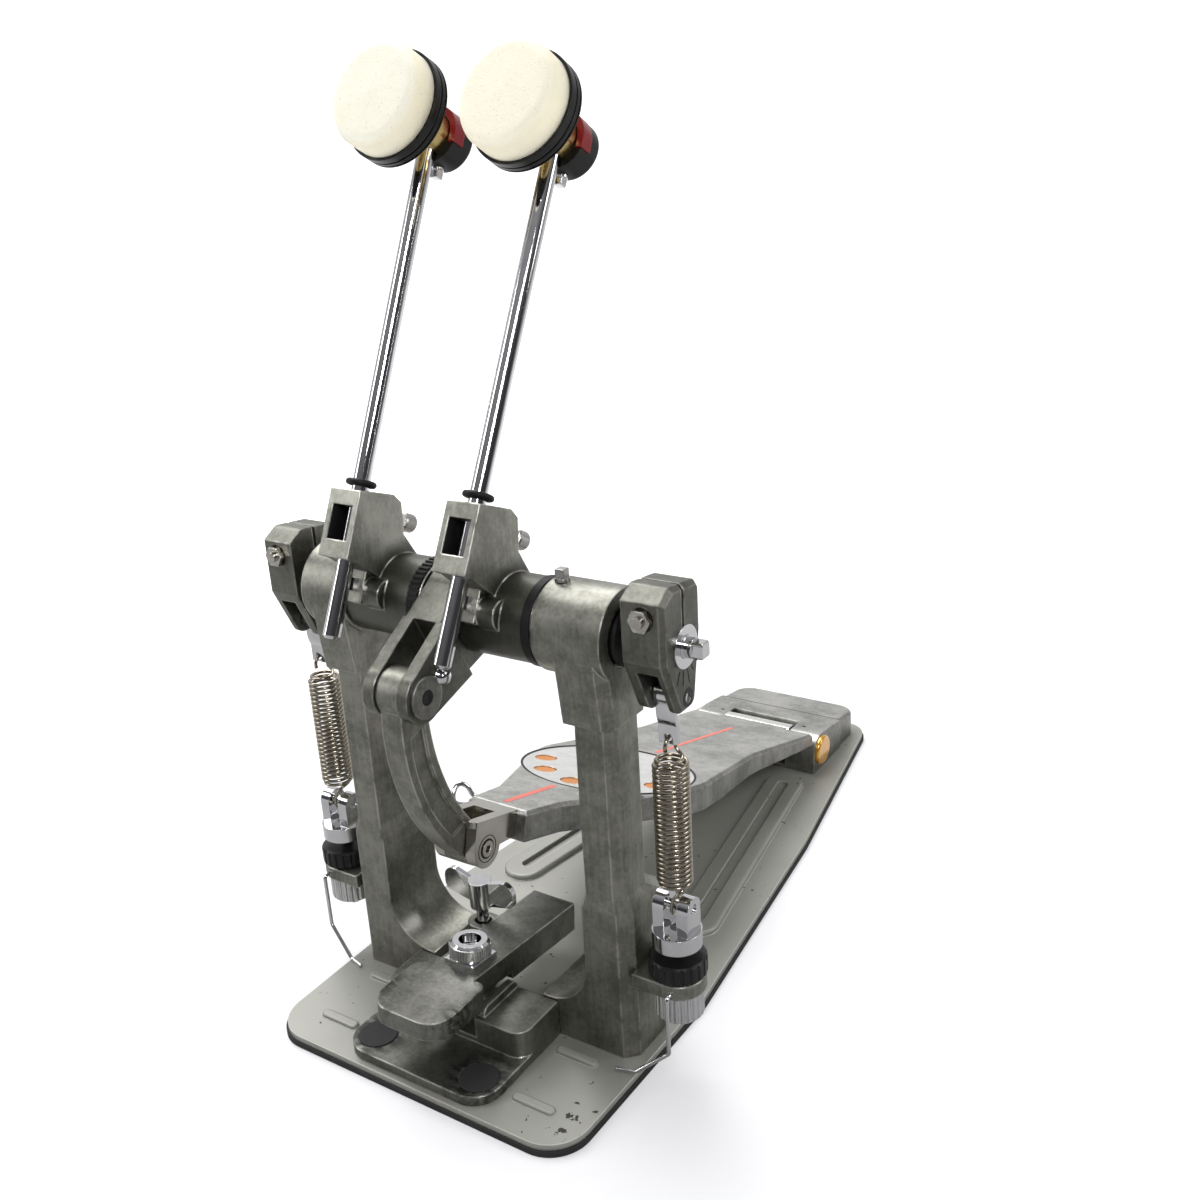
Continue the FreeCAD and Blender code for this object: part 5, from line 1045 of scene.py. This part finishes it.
put("boss_screw", key_screw(*BOSS_SCREW, at(*BOSS_SCREW_AT)), "frame", steel)
for side in SIGN:
    under = head_place(side) @ at(*BARREL_SCREW_AT) @ FACE_DOWN
    put(f"barrel_screw_{side}", key_screw(*BARREL_SCREW, under), f"beater_{side}", chrome)

dome = turned(ARM_SCREW, SOCKET_STEPS)
smooth(dome)
put("arm_screw", [(dome, at(*ARM_SCREW_AT) @ FACE_X)], "main_axle", chrome)
# A black dish in the pin: painted shade for its socket.
socket = turned(LINK_SOCKET_SHADE, SOCKET_STEPS)
put("link_socket", [(socket, at(*LINK_SOCKET_SHADE_AT) @ FACE_X)], "main_axle", ring_rubber)
print("screws and socket done")

# %% [markdown]
# ## The key clip
# At the toe a bent chrome wire on the board's left side holds a drum key. Its line is a smooth NURBS
# curve with a round section, as a bent wire has no corners.

# %% Key clip
CLIP_POINTS = ((-18.2, 14.0, 103.5), (-25.0, 6.0, 104.0), (-27.6, 6.2, 109.5), (-27.0, 11.4, 114.6),
               (-23.4, 14.4, 112.0), (-21.4, 15.2, 106.0), (-18.2, 18.0, 103.5))
CLIP_RADIUS = 1.25 * MM
CLIP_ROUND = 4
CLIP_ORDER = 3

clip_line = bpy.data.curves.new("key_clip", "CURVE")
clip_line.dimensions = "3D"
clip_line.bevel_depth = CLIP_RADIUS
clip_line.bevel_resolution = CLIP_ROUND
clip_line.use_fill_caps = True
run = clip_line.splines.new("NURBS")
run.points.add(len(CLIP_POINTS) - 1)
for point, place in zip(run.points, CLIP_POINTS):
    point.co = (*(part * MM for part in place), 1.0)
run.order_u = CLIP_ORDER
run.use_endpoint_u = True
key_clip = bpy.data.objects.new("key_clip", clip_line)
bpy.context.scene.collection.objects.link(key_clip)
dress(key_clip, chrome)
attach(key_clip, "board")
print("key clip done")

# %% [markdown]
# ## A white sweep
# The pedal stands on a white sweep: a floor that curves up into a wall, so there is no horizon. It is a
# plain strip, extruded upwards at the back and bevelled where it turns. To the camera the sweep is
# paper white with only a faint shadow near the pedal. In reflections the floor is a darker grey and its
# far part glows as a bright wall, though it is no lamp: a painted reflection.

# %% Sweep
SWEEP_HALF = 4.0
SWEEP_BEND = 1.6
SWEEP_BEND_STEPS = 24
SWEEP_AZIMUTH = 33.9
FLOOR_GAP = 0.2 * MM
PEDAL_MIDDLE = {"x": 0.0, "y": 0.13}
SHADOW_REACH = (0.3, 0.9)
TOWARDS_CAMERA = (0.56, -0.83)
BEHIND = (-0.5, 0.0)
SWEEP_DUST = 40 * MM
GLOW_NEAR = 0.32
GLOW_FAR = 0.7
GLOW_MIRRORED = 0.6
SWEEP_LIT = (0.9, 0.9, 0.9)
SWEEP_MIRRORED = (0.33, 0.33, 0.33)
SWEEP_SEEN = (0.58, 0.58, 0.6)


def nearer(finish):
    """How far a place or direction lies towards the camera."""
    return TOWARDS_CAMERA[0] * finish.axis("X") + TOWARDS_CAMERA[1] * finish.axis("Y")


def sweep_finish(name):
    finish = Finish(name)
    seen = finish.node("ShaderNodeLightPath", {}, {}, "Is Camera Ray")
    mirrored = finish.node("ShaderNodeLightPath", {}, {}, "Is Glossy Ray")
    far = finish.step(finish.distance(**PEDAL_MIDDLE), *SHADOW_REACH)
    behind = 1 - finish.step(nearer(finish), *BEHIND)
    # In reflections the far part glows: a painted reflection.
    glow = seen * (GLOW_NEAR + GLOW_FAR * far) + GLOW_MIRRORED * mirrored * behind
    lit = finish.mix(mirrored, paint(SWEEP_LIT), paint(SWEEP_MIRRORED))
    finish.look(base_color=finish.mix(seen, lit, paint(SWEEP_SEEN)),
                roughness=0.85 + 0.1 * finish.clouds(SWEEP_DUST), emission_color=glow, emission_strength=1.0)
    return finish.material


def sweep_shape():
    shape = bmesh.new()
    bmesh.ops.create_grid(shape, x_segments=1, y_segments=1, size=SWEEP_HALF)
    back_edge = max(shape.edges, key=lambda edge: sum(point.co.y for point in edge.verts))
    raised = bmesh.ops.extrude_edge_only(shape, edges=[back_edge])["geom"]
    top = [item for item in raised if isinstance(item, bmesh.types.BMVert)]
    bmesh.ops.translate(shape, vec=(0, 0, SWEEP_HALF), verts=top)
    fold = [edge for edge in shape.edges if len(edge.link_faces) == 2]
    bmesh.ops.bevel(shape, geom=fold, offset=SWEEP_BEND, affect="EDGES", segments=SWEEP_BEND_STEPS,
                    profile=0.5, material=-1)
    facing = Matrix.Rotation(math.radians(SWEEP_AZIMUTH), 4, "Z") @ Matrix.Translation((0, 0, -FLOOR_GAP))
    bmesh.ops.transform(shape, matrix=facing, verts=shape.verts)
    smooth(shape)
    return shape


sweep = as_object("white_sweep", sweep_shape(), sweep_finish("white_sweep"))
print(f"sweep {2 * SWEEP_HALF:.0f} m wide")

# %% [markdown]
# ## Lamps
# A large lamp overhead lights the tops of the castings, and one at the right back their flanks. The
# felt isn't metal, so it needs a lamp of its own from the front right. A narrow lamp on the left draws
# bright bands on the chrome.

# %% Lamps
LAMP_AIM = Vector((0, 0.1, 0.15))
# For each lamp its place, its width and height, and its power in watts
LAMPS = {
    "overhead": ((-1.0, 0.6, 2.1), 1.8, 1.8, 64),
    "right_back": ((1.9, 0.9, 1.3), 0.8, 1.2, 14),
    "felt_key": ((1.3, -1.3, 1.5), 0.5, 0.5, 20),
    "left_strip": ((-1.5, -1.0, 0.8), 0.36, 1.3, 9),
}

for name, (place, width, height, power) in LAMPS.items():
    light = bpy.data.lights.new(name, "AREA")
    light.shape = "RECTANGLE"
    light.size = width
    light.size_y = height
    light.energy = power
    lamp = bpy.data.objects.new(name, light)
    lamp.location = place
    lamp.rotation_euler = (LAMP_AIM - Vector(place)).to_track_quat("-Z", "Y").to_euler()
    bpy.context.scene.collection.objects.link(lamp)
print("lamps", list(LAMPS))

# %% [markdown]
# ## The room
# Bare metal shows what is around it, so the room matters as much as the lamps. Behind and above it is
# bright, and towards the drum it is dim, which makes the fronts of the castings dark and their tops
# pale. A camera that looks past the sweep sees plain white.

# %% Room
ROOM_FRONT = (-0.25, 0.3)
ROOM_ABOVE = (0.25, 0.8)
BACK_GREY = (0.5, 0.5, 0.5)
FRONT_GREY = (0.045, 0.045, 0.048)
CEILING_GREY = (0.42, 0.42, 0.43)
WHITE = (1.0, 1.0, 1.0)


class Sky(Finish):
    """The world's own shader; its place is the direction that is looked in."""

    def __init__(self, name):
        self.world = bpy.data.worlds.new(name)
        self.world.use_nodes = True
        self.tree = self.world.node_tree
        self.shader = self.tree.nodes["Background"]
        self.place = self.node("ShaderNodeTexCoord", {}, {}, "Generated")


room = Sky("half_dim_room")
front = room.step(nearer(room), *ROOM_FRONT)
above = room.step(room.axis("Z"), *ROOM_ABOVE)
sides = room.mix(front, paint(BACK_GREY), paint(FRONT_GREY))
around = room.mix(0.7 * above, sides, paint(CEILING_GREY))
seen = room.node("ShaderNodeLightPath", {}, {}, "Is Camera Ray")
room.look(color=room.mix(seen, around, paint(WHITE)), strength=1.0)
bpy.context.scene.world = room.world
bpy.context.scene.view_settings.view_transform = "Standard"
print("room ready")
